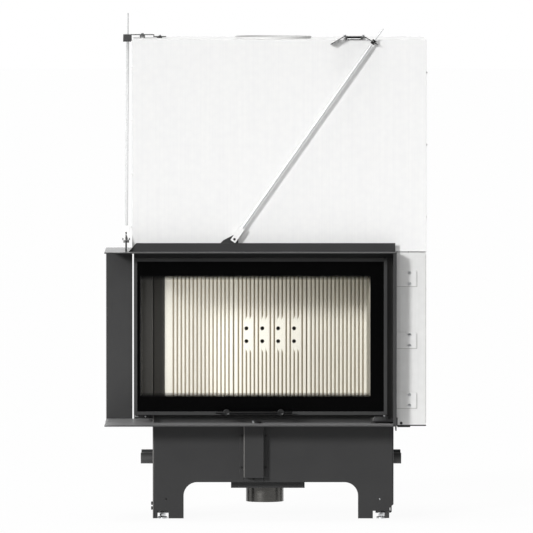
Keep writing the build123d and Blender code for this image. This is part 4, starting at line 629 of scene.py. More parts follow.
@dataclass
class Studio:
    """Long-lens camera, a large soft key light, a weak fill, a wide lamp overhead and pale surroundings."""

    distance: float = 33.0
    pitch_deg: float = 2.55
    lens_mm: float = 677.6
    sensor_mm: float = 36.0
    clip: tuple[float, float] = (1.0, 200.0)
    aim: tuple[float, float, float] = (0.0017, -0.28, 0.843)
    ambient: float = 0.17
    key_strength: float = 2.15
    key_from: tuple[float, float, float] = (-0.62, -1.0, 0.36)
    key_width_deg: float = 10.0
    fill_strength: float = 0.7
    fill_from: tuple[float, float, float] = (-0.05, -1.0, 0.2)
    fill_width_deg: float = 22.0
    top_strength: float = 1.6
    top_from: tuple[float, float, float] = (-0.12, -0.1, 1.0)
    top_width_deg: float = 28.0
    chamber_power: float = 0.68
    chamber_place: tuple[float, float, float] = (-0.25, -0.1, 0.53)
    chamber_size: tuple[float, float] = (0.3, 0.34)
    chamber_turn: float = 0.2
    floor_x: tuple[float, float] = (-9e3, 9e3)
    floor_y: tuple[float, float] = (-2e3, 60e3)

    def camera(self) -> None:
        """Places the camera far back on the line that leaves the aim point at the pitch angle."""
        pitch = math.radians(self.pitch_deg)
        data = bpy.data.cameras.new("camera")
        data.lens = self.lens_mm
        data.sensor_width = self.sensor_mm
        data.clip_start, data.clip_end = self.clip
        eye = bpy.data.objects.new("camera", data)
        eye.location = (self.aim[0], self.aim[1] - self.distance * math.cos(pitch),
                        self.aim[2] + self.distance * math.sin(pitch))
        eye.rotation_euler = (QUARTER - pitch, 0.0, 0.0)
        bpy.context.scene.collection.objects.link(eye)
        bpy.context.scene.camera = eye

    @staticmethod
    def sun(name: str, strength: float, from_side: Floats, width_deg: float, mirrored: bool) -> None:
        """Adds a sun lamp.

        Args:
            name: Name of the lamp.
            strength: Irradiance in watts per square metre.
            from_side: Direction from the object to the lamp.
            width_deg: Apparent width, which softens the shadows.
            mirrored: Shows its disc in gloss and glass.
        """
        data = bpy.data.lights.new(name, "SUN")
        data.energy = strength
        data.angle = math.radians(width_deg)
        lamp = bpy.data.objects.new(name, data)
        lamp.visible_glossy = mirrored
        x, y, z = from_side
        lamp.rotation_euler = (math.atan2(math.hypot(x, y), z), 0.0, math.atan2(y, x) + QUARTER)
        bpy.context.scene.collection.objects.link(lamp)

    def chamber_light(self) -> None:
        """Adds a small soft panel inside the fire chamber that faces its rear wall."""
        data = bpy.data.lights.new("chamber", "AREA")
        data.shape = "RECTANGLE"
        data.size, data.size_y = self.chamber_size
        data.energy = self.chamber_power
        lamp = bpy.data.objects.new("chamber", data)
        lamp.location = self.chamber_place
        lamp.rotation_euler = (QUARTER, 0.0, self.chamber_turn)
        lamp.visible_camera = lamp.visible_glossy = lamp.visible_transmission = False
        bpy.context.scene.collection.objects.link(lamp)

    def lights(self) -> None:
        """Adds the key from the upper left, a wide fill from the front, a lamp overhead and the surroundings.

        Mirror rays see surroundings that grow from dark in front to white behind, as in a studio with a lit
        white wall behind the object. Camera and glass rays see plain white.
        """
        self.sun("key", self.key_strength, self.key_from, self.key_width_deg, True)
        self.sun("fill", self.fill_strength, self.fill_from, self.fill_width_deg, False)
        self.sun("overhead", self.top_strength, self.top_from, self.top_width_deg, False)
        self.chamber_light()
        world = bpy.data.worlds.new("surroundings")
        bpy.context.scene.world = world
        world.use_nodes = True
        tree = world.node_tree
        tree.nodes.clear()
        path = add_node(tree, "LightPath")
        place = add_node(tree, "TexCoord")
        axes = add_node(tree, "SeparateXYZ", {}, {0: place.outputs["Generated"]})
        smooth = {"interpolation_type": "SMOOTHSTEP"}
        wall = add_node(tree, "MapRange", {**smooth, "From Min": -0.7, "From Max": 0.8, "To Min": 0.04},
                        {"Value": axes.outputs["Y"]})
        lit_wall = add_node(tree, "MapRange", {**smooth, "From Min": 0.6, "To Max": 1.6},
                            {"Value": axes.outputs["Y"]})
        strength = add_node(tree, "Math", {"operation": "ADD"},
                            {0: wall.outputs["Result"], 1: lit_wall.outputs["Result"]})
        ambient = add_node(tree, "Background", {"Color": WHITE, "Strength": self.ambient})
        mirrored = add_node(tree, "Background", {"Color": WHITE}, {"Strength": strength.outputs[0]})
        seen = add_node(tree, "Background", {"Color": WHITE, "Strength": 1.0})
        gloss = add_node(tree, "MixShader", {},
                         {0: path.outputs["Is Glossy Ray"], 1: ambient.outputs[0], 2: mirrored.outputs[0]})
        direct = add_node(tree, "Math", {"operation": "MAXIMUM"},
                          {0: path.outputs["Is Camera Ray"], 1: path.outputs["Is Transmission Ray"]})
        both = add_node(tree, "MixShader", {},
                        {0: direct.outputs[0], 1: gloss.outputs[0], 2: seen.outputs[0]})
        out = add_node(tree, "OutputWorld")
        tree.links.new(both.outputs[0], out.inputs["Surface"])
        bpy.context.scene.view_settings.view_transform = "Standard"

    def floor(self) -> None:
        """Lays a flat floor at the foot of the object, 2 m deep in front of it and far behind it."""
        (left, right), (near, far) = self.floor_x, self.floor_y
        points = np.array([[left, near, 0.0], [right, near, 0.0], [right, far, 0.0], [left, far, 0.0]])
        mesh = bpy.data.meshes.new("floor")
        mesh.from_pydata((points * MM).tolist(), [], [(0, 1, 2, 3)])
        mesh.materials.append(PlainFloor().material())
        ground = bpy.data.objects.new("floor", mesh)
        bpy.context.scene.collection.objects.link(ground)
        ground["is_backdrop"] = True

    def build(self) -> None:
        """Sets up camera, lights and floor."""
        self.camera()
        self.lights()
        self.floor()
        LOG.info("studio ready")


# ---- finishes of the CAD nodes -----------------------------------------------------------------
class Steel(Enum):
    """The finishes that whole CAD nodes take, with the nodes that wear them."""

    # Painted light: a lighter copy of the stove paint for the sill and the carrying stubs, which lifts the
    # shade that falls on them.
    SILL = ("sill_band", "carrying_stubs")
    PAINTED = ("foot_brackets", "lower_ledge", "upper_ledge", "hood_plate", "wing_panel", "right_frame_plate",
               "leaf_frame", "side_frame", "tie_rod_lugs")
    BLACK = ("tie_rod_brackets",)
    BASE = ("base_front_plate", "base_rear_plate", "base_side_plates", "air_box", "air_duct_cover",
            "air_slide", "leaf_handle", "duct_plates", "guide_rails")
    # Painted shade: a near-black copy of the stove paint for the lintel and the door carriage, which paints
    # the deep shade of the recess above the door.
    DARK = ("inner_lintel", "door_carriage")
    INNER = ("firebox_floor_pan", "firebox_back_wall", "firebox_right_wall", "smoke_dome", "flue_collar")
    # Painted light: the rear left post takes a lighter grey copy of the stove paint, which stands for more
    # light on it.
    DUSTY = ("rear_left_post",)
    PALE = ("upper_front_cover", "upper_left_cover", "right_cover", "rear_cover", "sheave_brackets")
    DULL = ("lower_right_cover", "cover_brackets", "top_plate")
    ZINC = ("fasteners", "foot_front_left", "foot_front_right", "foot_rear_left", "foot_rear_right",
            "air_lever")
    SATIN = ("tie_rods",)
    WHITE = ("tie_rod_clevises",)
    BARE = ("sheave_right", "sheave_left", "counterweight_right", "counterweight_left", "lift_cables")
    SPIGOT = ("air_spigot",)
    BRASS = ("guide_shoes",)
    CREAM = ("back_lining", "baffle_plates")
    # Painted shade: a darker grey copy of the cream lining for the side and floor linings, which lie in
    # shade.
    STONE = ("floor_lining", "right_lining")
    CLEAR = ("leaf_glass", "side_glass")
    SEAL = ("leaf_seal", "side_seal")


@dataclass
class Wardrobe:
    """Every finish of the insert, made once, and the dressing of the CAD nodes."""

    made: dict[str, Material] = field(default_factory=dict)

    def build(self) -> None:
        """Makes the finishes and gives each CAD node its own."""
        finishes = {
            "PAINTED": StovePaint("stove_paint"),
            "BASE": StovePaint("base_stove_paint", "#202021", "#262626"),
            "INNER": StovePaint("inner_stove_paint", "#29292a", "#3b3a38", 0.6),
            "PALE": GalvanisedSheet("galvanised_sheet"),
            "DULL": GalvanisedSheet("dull_galvanised_sheet", "#d9d9d8", "#d2d2d1"),
            # Painted light: a lighter copy of the stove paint for the sill and the stubs.
            "SILL": StovePaint("lightened_sill_paint", "#3a3a3a", "#414141"),
            # Painted light: a lighter grey copy of the stove paint for the rear left post.
            "DUSTY": StovePaint("lightened_post_paint", "#333231", "#3a3937", 0.7),
            # Painted shade: a near-black copy of the stove paint for the recess above the door.
            "DARK": StovePaint("recess_shade_paint", "#0f0f10", "#151516", 0.55, sheen=0.05),
            "BLACK": StovePaint("glossy_black_paint", "#050505", "#0a0a0b", 0.42, sheen=0.0),
            "KNOB": StovePaint("knob_paint", "#121213", "#19191a", 0.45, sheen=0.0),
            # Painted highlight: a light copy of the stove paint for the bright folds and the hinge bracket's
            # rim.
            "WORN": StovePaint("painted_highlight_paint", "#6a6967", "#787674", 0.42, sheen=0.1),
            # Painted shade: grey for the shadow lines along the edges of the lower right cover and its
            # plates.
            "JOINT": GalvanisedSheet("painted_edge_shadow", "#a8a7a5", "#9c9b99", 0.0, 0.6),
            "ZINC": BrightMetal("zinc_plate", "#e3e4e5", "#c4c6c8", 0.34),
            "SATIN": GalvanisedSheet("satin_zinc", "#dcdddd", "#d1d2d2", 0.12, 0.3, 9.0),
            "WHITE": GalvanisedSheet("white_zinc", "#f2f2f1", "#e9e9e8", 0.0, 0.45, 7.0),
            "SPIGOT": BrightMetal("dark_spigot_steel", "#666563", "#53524f", 0.26, (60.0, 60.0, 900.0)),
            # Painted shade: a darker copy of the lining for the side and floor linings.
            "STONE": CastLining("shaded_lining", "#b9b5ab", "#a49f94"),
            "WIRE": BrightMetal("rope_wire", "#aeb0b2", "#8c8e90", 0.4, (900.0, 900.0, 900.0)),
            "BARE": BrightMetal("bare_steel", "#b4b3b1", "#8f8e8c", 0.34, (60.0, 60.0, 900.0)),
            "BRASS": BrightMetal("turned_brass", "#b59a55", "#8f7a44", 0.3),
            "CREAM": CastLining("pressed_lining"),
            # Painted shade on the groove floors of the ribbed panels, between 180.8 and 186 mm in depth.
            "RIBS": CastLining("ribbed_lining", groove_shade_mm=(180.8, 186.0)),
            "CLEAR": CeramicGlass("ceramic_glass"),
            "SEAL": FibreRope("fibre_seal"),
            "PRINT": ScreenPrint("screen_print"),
        }
        self.made = {kind: finish.material() for kind, finish in finishes.items()}
        for kind in Steel:
            for name in kind.value:
                self.dress(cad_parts[name], self.made[kind.name])
        LOG.info("finishes on %d CAD nodes", sum(len(kind.value) for kind in Steel))

    @staticmethod
    def dress(node: bpy.types.Object, finish: Material) -> None:
        """Puts one finish on every face of a CAD node."""
        node.data.materials.clear()
        node.data.materials.append(finish)


# ---- fire lining -------------------------------------------------------------------------------
@dataclass
class FireLining:
    """Three ribbed panels at the back of the fire chamber, with two rows of air holes in the middle one.

    Each groove is a shallow hollow between flat ribs, and each joint between two panels lies in a groove of
    its own. The two grooves at each column of air holes run out above and below a flat pad.
    """

    face_y: float = 180.0
    back_y: float = 206.0
    bottom: float = 319.3
    top: float = 799.7
    left: float = -338.0
    widths: tuple[float, ...] = (230.0, 243.0, 200.0)
    grooves: tuple[int, ...] = (15, 17, 14)
    first_groove: tuple[float, ...] = (28.9, 16.0, 15.0)
    pitch: float = 13.3
    groove_width: float = 7.6
    groove_depth: float = 8.5
    joint: float = 0.6
    edge_round: float = 1.6
    hole_radius: float = 6.6
    hole_first: float = -65.2
    hole_pitch: float = 53.0
    hole_rows: tuple[float, ...] = (573.0, 616.0)
    hole_columns: int = 4
    pad: tuple[float, float] = (552.0, 641.0)
    run_out: float = 20.0
    narrowest: float = 0.3
    drift: float = 2.4
    fine_step: float = 1.2
    rim_reach: float = 0.6
    hole_floor: float = 2.0

    def spans(self) -> list[tuple[float, float]]:
        """Left and right edge of each panel in millimetres."""
        starts = self.left + np.cumsum([0.0] + [w + self.joint for w in self.widths[:-1]])
        return [(float(s), float(s + w)) for s, w in zip(starts, self.widths)]

    def hole_places(self) -> Array:
        """Place across of each column of air holes in millimetres."""
        return self.hole_first + self.hole_pitch * np.arange(self.hole_columns)

    def depth(self, x: Array, z: Array, centres: Array, holes: bool) -> Array:
        """Depth of the front face below the ribs.

        A groove is D cos^2(pi t / W) for |t| < W / 2 from its centre line. At a pad D and W shrink with the
        smooth step s^2 (3 - 2 s) of the way out of the pad, and the centre line drifts to the left.

        Args:
            x: Places across, as an array.
            z: Places up, as an array of the same shape.
            centres: Centre lines of the grooves.
            holes: Makes the pads at the columns of holes.

        Returns:
            Depth at each place in millimetres.
        """
        beyond = np.maximum(self.pad[0] - z, z - self.pad[1])
        s = np.clip(beyond / self.run_out, 0.0, 1.0)
        s = s * s * (3.0 - 2.0 * s)
        total = np.zeros_like(x)
        beside = self.hole_places()[None, :, None] + np.array([0.0, self.pitch])
        padded = np.any(np.abs(centres[:, None, None] - beside) < 3.0, axis=(1, 2)) & holes
        for centre, runs_out in zip(centres, padded):
            share = s if runs_out else np.ones_like(s)
            width = self.groove_width * (self.narrowest + (1.0 - self.narrowest) * share)
            t = np.abs(x - centre + self.drift * (1.0 - share)) / width
            hollow = share * np.cos(np.pi * np.minimum(t, 0.5)) ** 2
            total += np.where(t < 0.5, self.groove_depth * hollow, 0.0)
        return total

    def panel(self, low: float, high: float, centres: Array, holes: bool) -> Shape:
        """Closed surface of one panel.

        The front is a grid in x and z pushed back by the depth, its rim eased by a quarter round. Each column
        of points goes up the front and down the flat back, and the end columns meet in the middle of the
        thickness, which closes the ends. Points near the rim of a hole move onto it, and those inside it go
        back almost to the far face.

        Args:
            low: Left edge.
            high: Right edge.
            centres: Centre lines of the grooves.
            holes: Makes the air holes and their pads.

        Returns:
            Points in millimetres and quads.
        """
        ease = self.edge_round
        steps = ease * (1.0 - np.cos(np.linspace(0.0, QUARTER, 4)))[:, None]
        offsets = np.linspace(-0.5, 0.5, 11)[None, :] * self.groove_width
        x = np.unique(np.round(np.concatenate([(low + steps).ravel(), (high - steps).ravel(),
                                               (centres[:, None] + offsets).ravel()]), 3))
        x = x[(x >= low) & (x <= high)]
        near = np.array([560.0])  # one row of points halfway up is enough where nothing changes upwards
        if holes:
            x = np.unique(np.round(np.concatenate([x, np.arange(low + 3.0, high - 3.0, self.fine_step)]), 3))
            near = np.arange(self.pad[0] - self.run_out, self.pad[1] + self.run_out, self.fine_step)
        z = np.unique(np.round(np.concatenate([(self.bottom + steps).ravel(), (self.top - steps).ravel(),
                                               near]), 3))
        gx, gz = np.meshgrid(x, z, indexing="ij")
        rim = np.minimum(np.minimum(gx - low, high - gx), np.minimum(gz - self.bottom, self.top - gz))
        rounding = ease - np.sqrt(np.maximum(ease ** 2 - np.maximum(ease - rim, 0.0) ** 2, 0.0))
        y = self.face_y + self.depth(gx, gz, centres, holes) + rounding
        if holes:
            for row in self.hole_rows:
                for column in self.hole_places():
                    dx, dz = gx - column, gz - row
                    r = np.maximum(np.hypot(dx, dz), 1e-6)
                    on_rim = np.abs(r - self.hole_radius) < self.rim_reach
                    gx = np.where(on_rim, column + dx / r * self.hole_radius, gx)
                    gz = np.where(on_rim, row + dz / r * self.hole_radius, gz)
                    y = np.where(r <= self.hole_radius - self.rim_reach, self.back_y - self.hole_floor, y)
        front = np.stack([gx, y, gz], axis=-1)
        back = front.copy()
        back[..., 1] = self.back_y
        loop = np.concatenate([front, back[:, ::-1]], axis=1)
        ends = [loop[:1].copy(), loop[-1:].copy()]
        for end in ends:
            end[..., 1] = (self.face_y + self.back_y) / 2.0
        loop = np.concatenate([ends[0], loop, ends[1]], axis=0)
        rows, columns = loop.shape[:2]
        return loop.reshape(-1, 3), grid_quads(rows, columns, close_columns=True)

    def build(self, finish: Material, behind: Material) -> None:
        """Makes the three panels in place of the plain ones.

        Args:
            finish: Material of the lining.
            behind: Material seen in the air holes.
        """
        names = ("left", "middle", "right")
        joints = [high + self.joint / 2.0 for _, high in self.spans()[:-1]]
        for name, (low, high), count, first in zip(names, self.spans(), self.grooves, self.first_groove):
            centres = np.concatenate([low + first + self.pitch * np.arange(count), joints])
            centres = centres[(centres > low - 1.0) & (centres < high + 1.0)]
            middle = name == "middle"
            shape = self.panel(low, high, centres, middle)
            piece = new_piece(f"lining_panel_{name}", shape, finish, "frame",
                              ("back_lining",) if middle else (), sharp=50.0)
            LOG.info("%s has %d faces", piece.name, len(piece.data.polygons))
            if middle:
                self.darken_holes(piece, behind)

    def darken_holes(self, piece: bpy.types.Object, behind: Material) -> None:
        """Gives the bottoms of the air holes the colour of the dark channel behind them.

        Args:
            piece: The panel with holes.
            behind: Material of the steel behind the lining.
        """
        centre = np.zeros(len(piece.data.polygons) * 3)
        piece.data.polygons.foreach_get("center", centre)
        x, y, z = centre.reshape(-1, 3).T / MM
        low, high = self.spans()[1]
        deep = (y > self.face_y + self.groove_depth + 2.0) & (y < self.back_y - 0.5)
        inner = (np.abs(z - np.mean(self.hole_rows)) < 40.0) & (x > low + 5.0) & (x < high - 5.0)
        piece.data.materials.append(behind)
        piece.data.polygons.foreach_set("material_index", (deep & inner).astype(np.int32))


# ---- printed border of the glass ---------------------------------------------------------------
@dataclass(frozen=True)
class DottedPrint(Finish):
    """Rows of ceramic ink dots that shrink away from the printed border, as on every printed oven glass.

    The dots stand 2.2 mm apart, coarser than the real 1.5 mm, so that they show.
    """

    low: float
    high: float
    across: int = 0
    pitch_mm: float = 2.2
    colour: str = "#060607"

    def surface(self, tree: Tree) -> Socket:
        """Ink inside a circle in each cell, whose radius falls from the low to the high edge.

        Args:
            tree: Node tree of the material.

        Returns:
            The shader's output.
        """
        place = add_node(tree, "TexCoord").outputs["Object"]
        cells = add_node(tree, "VectorMath", {"operation": "SCALE", "Scale": 1.0 / (self.pitch_mm * MM)},
                         {0: place})
        part = add_node(tree, "VectorMath", {"operation": "FRACTION"}, {0: cells.outputs[0]})
        inner = add_node(tree, "VectorMath", {"operation": "SUBTRACT", 1: (0.5, 0.5, 0.5)},
                         {0: part.outputs[0]})
        axes = add_node(tree, "SeparateXYZ", {}, {0: inner.outputs[0]})
        flat = add_node(tree, "CombineXYZ", {},
                        {"X": axes.outputs[self.across], "Z": axes.outputs["Z"]})
        away = add_node(tree, "VectorMath", {"operation": "LENGTH"}, {0: flat.outputs[0]})
        height = add_node(tree, "SeparateXYZ", {}, {0: place})
        radius = add_node(tree, "MapRange", {"From Min": self.low * MM, "From Max": self.high * MM,
                                             "To Min": 0.62, "To Max": 0.3}, {"Value": height.outputs["Z"]})
        inside = add_node(tree, "Math", {"operation": "LESS_THAN"},
                          {0: away.outputs["Value"], 1: radius.outputs["Result"]})
        ink = add_node(tree, "BsdfPrincipled",
                       {"Base Color": linear(self.colour), "Roughness": 0.35, "Specular IOR Level": 0.1})
        clear = add_node(tree, "BsdfTransparent", {"Color": WHITE})
        both = add_node(tree, "MixShader", {},
                        {0: inside.outputs[0], 1: clear.outputs[0], 2: ink.outputs[0]})
        return both.outputs[0]


@dataclass
class GlassBorder:
    """Black printed border on the inner face of both panes, with a dotted fade along its long edges."""

    leaf_outer: tuple[float, float, float, float] = (-429.0, 393.0, 355.0, 859.0)
    leaf_window: tuple[float, float, float, float] = (-415.4, 344.2, 408.3, 808.2)
    leaf_y: tuple[float, float] = (-177.35, -177.1)
    side_outer: tuple[float, float, float, float] = (-152.8, 98.1, 355.0, 860.0)
    side_window: tuple[float, float, float, float] = (-146.0, 62.0, 408.3, 808.2)
    side_x: tuple[float, float] = (-428.35, -428.1)
    corner: float = 6.0
    fade: float = 13.0
    steps: int = 6

    def ring(self, outer: Floats, window: Floats, span: Floats,
             upright: bool) -> Shape:
        """Closed thin ring: outer front, inner front, inner back and outer back outlines joined in a loop.

        Args:
            outer: Low u, high u, low w and high w of the outside.
            window: The same for the opening.
            span: The two places through the thickness.
            upright: True for the side pane, whose plane is y and z.

        Returns:
            Points in millimetres and quads.
        """
        outside = rounded(outer[::2], outer[1::2], 1.0, self.steps)
        inside = rounded(window[::2], window[1::2], self.corner, self.steps)
        rings = []
        for outline, depth in ((outside, span[0]), (inside, span[0]), (inside, span[1]), (outside, span[1])):
            layer = np.full(len(outline), depth)
            u, w = outline.T
            rings.append(np.stack([layer, u, w] if upright else [u, layer, w], axis=1))
        return np.concatenate(rings), grid_quads(4, len(outside), close_rows=True, close_columns=True)

    def build(self, ink: Material) -> None:
        """Makes the two borders and the two dotted strips of the leaf.

        Args:
            ink: Material of the solid border.
        """
        new_piece("leaf_glass_border", self.ring(self.leaf_outer, self.leaf_window, self.leaf_y, False), ink,
                  "leaf", smooth=False)
        new_piece("side_glass_border", self.ring(self.side_outer, self.side_window, self.side_x, True), ink,
                  "door_carriage", smooth=False)
        low, high = self.leaf_window[2:]
        upper = DottedPrint("dotted_print_upper", high, high - self.fade)
        lower = DottedPrint("dotted_print_lower", low, low + self.fade)
        for label, dots, z in (("upper", upper, (high - self.fade, high)),
                               ("lower", lower, (low, low + self.fade))):
            piece = box((self.leaf_window[0] + 2.0, self.leaf_y[0], z[0]),
                        (self.leaf_window[1] - 2.0, self.leaf_y[1], z[1]))
            new_piece(f"leaf_dots_{label}", piece, dots.material(), "leaf", smooth=False)
        LOG.info("printed border done")


# ---- door seals --------------------------------------------------------------------------------
@dataclass
class DoorSeals:
    """Knitted seals of the door: a flattened rope along three sides of the leaf and of the side frame."""

    width: float = 12.0
    thick: float = 2.5
    points_round: int = 20
    leaf_corners: tuple[tuple[float, float], ...] = (
        (-410.0, 359.0), (382.0, 359.0), (382.0, 859.0), (-410.0, 859.0))
    leaf_y: float = -158.7
    side_corners: tuple[tuple[float, float], ...] = (
        (-153.7, 359.0), (99.0, 359.0), (99.0, 860.0), (-153.7, 860.0))
    side_x: float = -414.7

    def outline(self) -> Array:
        """Flattened round of the rope, closed on its first point.

        Returns:
            Points (a sign(cos t) |cos t|^0.6, b sign(sin t) |sin t|^0.8), with a and b half the width and
            half the thickness.
        """
        t = np.linspace(0.0, math.tau, self.points_round + 1)
        a = np.sign(np.cos(t)) * np.abs(np.cos(t)) ** 0.6 * self.width / 2.0
        b = np.sign(np.sin(t)) * np.abs(np.sin(t)) ** 0.8 * self.thick / 2.0
        return np.stack([a, b], axis=1)

    def strip(self, corners_at: Sequence[tuple[float, float]], depth: float,
              upright: bool) -> tuple[Shape, Array]:
        """Carries the outline along three straight runs, with mitred corners and closed ends.

        In the strip's plane each run has the direction d and the side vector n. At a corner the vector is
        (n1 + n2) / (1 + n1 . n2), which keeps the width. The ends shrink to their middle.

        Args:
            corners_at: The four corners of the middle line in the plane.
            depth: Place of the middle line through the plane.
            upright: True for the side frame, whose plane is y and z.

        Returns:
            Points and quads, and the surface place of each point in millimetres.
        """
        corner = np.array(corners_at, float)
        steps = np.diff(corner, axis=0)
        length = np.linalg.norm(steps, axis=1)
        ahead = steps / length[:, None]
        side = np.stack([ahead[:, 1], -ahead[:, 0]], axis=1)
        mitre = (side[:-1] + side[1:]) / (1.0 + np.sum(side[:-1] * side[1:], axis=1))[:, None]
        across = np.concatenate([side[:1], side[:1], mitre, side[-1:], side[-1:]])
        middle = corner[[0, 0, 1, 2, 3, 3]]
        keep = np.array([0.0, 1.0, 1.0, 1.0, 1.0, 0.0])
        run = np.concatenate([[0.0, 0.0], np.cumsum(length)[:2], [length.sum(), length.sum()]])
        outline = self.outline()
        flat = middle[:, None, :] + across[:, None, :] * (outline[None, :, 0:1] * keep[:, None, None])
        through = depth + outline[None, :, 1] * keep[:, None]
        axes = (through, flat[..., 0], flat[..., 1]) if upright else (flat[..., 0], through, flat[..., 1])
        round_by = np.concatenate([[0.0], np.cumsum(np.linalg.norm(np.diff(outline, axis=0), axis=1))])
        place = np.stack(np.broadcast_arrays(run[:, None], round_by[None, :]), axis=-1).reshape(-1, 2)
        points = np.stack(axes, axis=-1).reshape(-1, 3)
        return (points, grid_quads(len(middle), len(outline))), place

    def build(self, finish: Material) -> None:
        """Makes both seals in place of the plain ones.

        Args:
            finish: Material of the knitted fibre.
        """
        shape, place = self.strip(self.leaf_corners, self.leaf_y, False)
        new_piece("leaf_knitted_seal", shape, finish, "leaf", ("leaf_seal",), uv=place,
                  sharp=80.0)
        shape, place = self.strip(self.side_corners, self.side_x, True)
        new_piece("side_knitted_seal", shape, finish, "door_carriage", ("side_seal",), uv=place,
                  sharp=80.0)
        LOG.info("door seals done")


# ---- lift ropes --------------------------------------------------------------------------------
@dataclass
class LiftRopes:
    """Two steel wire ropes, each from the door over a grooved wheel to its weight.

    A rope is made in three pieces: the run above the door, the half turn over the wheel, and the run above
    the weight.
    """

    radius: float = 1.9
    strands: int = 6
    lay: float = 26.0
    row: float = 2.4
    door_lug_z: float = 882.0
    wheel_z: float = 1480.0
    weight_eye_z: float = 1421.0
    core: float = 0.88
    points_round: int = 24
    wheels: tuple[tuple[str, float, float, float], ...] = (
        ("right", 470.0, -100.0, 60.0), ("left", -410.0, 185.0, 45.0))

    def section(self) -> Array:
        """Outline of the twisted strands: r = R (c + (1 - c) |cos(n t / 2)|).

        Returns:
            Angle and radius of each point.
        """
        t = np.linspace(0.0, math.tau, self.points_round, endpoint=False)
        bulge = (1.0 - self.core) * np.abs(np.cos(self.strands * t / 2.0))
        return np.stack([t, self.radius * (self.core + bulge)], axis=1)

    def rope(self, middle: Array, up: Array) -> Shape:
        """Carries the section along a middle line, turned by 2 pi s / lay after the length s, ends closed.

        Args:
            middle: Points of the middle line in the plane of y and z.
            up: Side direction in that plane at each point.

        Returns:
            Points in millimetres and quads.
        """
        middle = np.concatenate([middle[:1], middle, middle[-1:]])
        up = np.concatenate([up[:1], up, up[-1:]])
        keep = np.ones(len(middle))
        keep[[0, -1]] = 0.0
        s = np.concatenate([[0.0], np.cumsum(np.linalg.norm(np.diff(middle, axis=0), axis=1))])
        turn = self.section()[None, :, 0] + math.tau * s[:, None] / self.lay
        r = self.section()[None, :, 1] * keep[:, None]
        points = (middle[:, None, :] + (r * np.cos(turn))[..., None] * np.array(RIGHT)
                  + (r * np.sin(turn))[..., None] * up[:, None, :])
        return points.reshape(-1, 3), grid_quads(len(middle), len(self.section()), close_columns=True)

    def straight(self, x: float, y: float, low: float, high: float) -> Shape:
        """Upright run between two heights, with rows a fixed step apart.

        Args:
            x: Place across in millimetres.
            y: Place in depth.
            low: Height of the lower end.
            high: Height of the upper end.

        Returns:
            Points in millimetres and quads.
        """
        z = np.linspace(low, high, int((high - low) / self.row) + 2)
        middle = np.stack([np.full_like(z, x), np.full_like(z, y), z], axis=1)
        return self.rope(middle, np.tile([0.0, 1.0, 0.0], (len(z), 1)))

    def half_turn(self, x: float, y: float, radius: float) -> Shape:
        """Half turn over a wheel: (x, y - R cos a, z + R sin a) for a from 0 to pi.

        Args:
            x: Place of the wheel's middle across in millimetres.
            y: Its place in depth.
            radius: Radius of the rope's middle line.

        Returns:
            Points in millimetres and quads.
        """
        a = np.linspace(0.0, math.pi, int(math.pi * radius / self.row))
        outward = np.stack([np.zeros_like(a), -np.cos(a), np.sin(a)], axis=1)
        return self.rope(np.array([x, y, self.wheel_z]) + radius * outward, outward)

    def run(self, name: str, carrier: str, place: Floats, finish: Material) -> None:
        """Makes an upright run from its lower end up to the wheel.

        Args:
            name: Name of the piece.
            carrier: CAD body at the lower end; not used.
            place: Lower end in millimetres.
            finish: Material of the wire.
        """
        x, y, low = place
        piece = new_piece(name, self.straight(x, y, low, self.wheel_z), finish, "")
        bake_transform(piece)

    def build(self, finish: Material) -> None:
        """Makes both ropes in place of the plain cables.

        Args:
            finish: Material of the wire.
        """
        for name, x, y, radius in self.wheels:
            self.run(f"rope_{name}_door", "door_carriage", (x, y - radius, self.door_lug_z), finish)
            new_piece(f"rope_{name}_wheel", self.half_turn(x, y, radius), finish, "frame", ("lift_cables",))
            self.run(f"rope_{name}_weight", f"counterweight_{name}", (x, y + radius, self.weight_eye_z),
                     finish)
        LOG.info("lift ropes done")


# ---- handle ------------------------------------------------------------------------------------
@dataclass
class DoorHandle:
    """Thin round bar through two cylindrical knobs on short stems, near the lower edge of the leaf."""

    bar_x: tuple[float, float] = (-166.0, 86.5)
    bar_y: float = -214.0
    bar_z: float = 358.3
    bar_radius: float = 4.5
    knobs_x: tuple[float, ...] = (-130.0, 49.0)
    knob_radius: float = 11.0
    knob_y: tuple[float, float] = (-218.5, -209.5)
    stem_radius: float = 7.0
    leaf_face: float = -185.0
    end_round: float = 2.0

    def bar(self) -> Shape:
        """Bar with quarter-round ends: a lathe of its half outline along x.

        Returns:
            Points in millimetres and quads.
        """
        r, length, ease = self.bar_radius, self.bar_x[1] - self.bar_x[0], self.end_round
        a = np.linspace(0.0, QUARTER, 6)
        end = [(r - ease + ease * math.sin(t), ease * (1.0 - math.cos(t))) for t in a]
        outline = [(0.0, 0.0)] + end + [(p, length - q) for p, q in reversed(end)] + [(0.0, length)]
        return lathe(outline, (self.bar_x[0], self.bar_y, self.bar_z), "x", 28)

    def knob(self, x: float) -> Shape:
        """Knob with a shallow dished face and rounded rim on a waisted stem: a lathe of its outline along y.

        Args:
            x: Place across in millimetres.

        Returns:
            Points in millimetres and quads.
        """
        r, stem = self.knob_radius, self.stem_radius
        front = self.knob_y[0]
        rim, foot = self.knob_y[1] - front, self.leaf_face - front
        outline = [(0.0, 0.5), (r - 3.4, 0.5), (r - 2.6, 0.0), (r - 1.4, 0.0), (r - 0.6, 0.35), (r, 1.3),
                   (r, rim - 1.0), (r - 0.5, rim - 0.3), (r - 1.3, rim), (stem + 0.4, rim + 0.1),
                   (stem - 0.6, rim + 2.5), (stem - 0.6, foot - 3.0), (stem, foot - 0.8), (stem, foot),
                   (0.0, foot)]
        return lathe(outline, (x, front, self.bar_z), "y", 40)

    def build(self, finish: Material, face: Material) -> None:
        """Makes the bar and the knobs in place of the plain handle.

        Args:
            finish: Material of the bar.
            face: Material of the knobs.
        """
        new_piece("handle_bar", self.bar(), finish, "leaf", ("leaf_handle",))
        for side, x in zip(("left", "right"), self.knobs_x):
            new_piece(f"handle_knob_{side}", self.knob(x), face, "leaf")
        LOG.info("handle done")


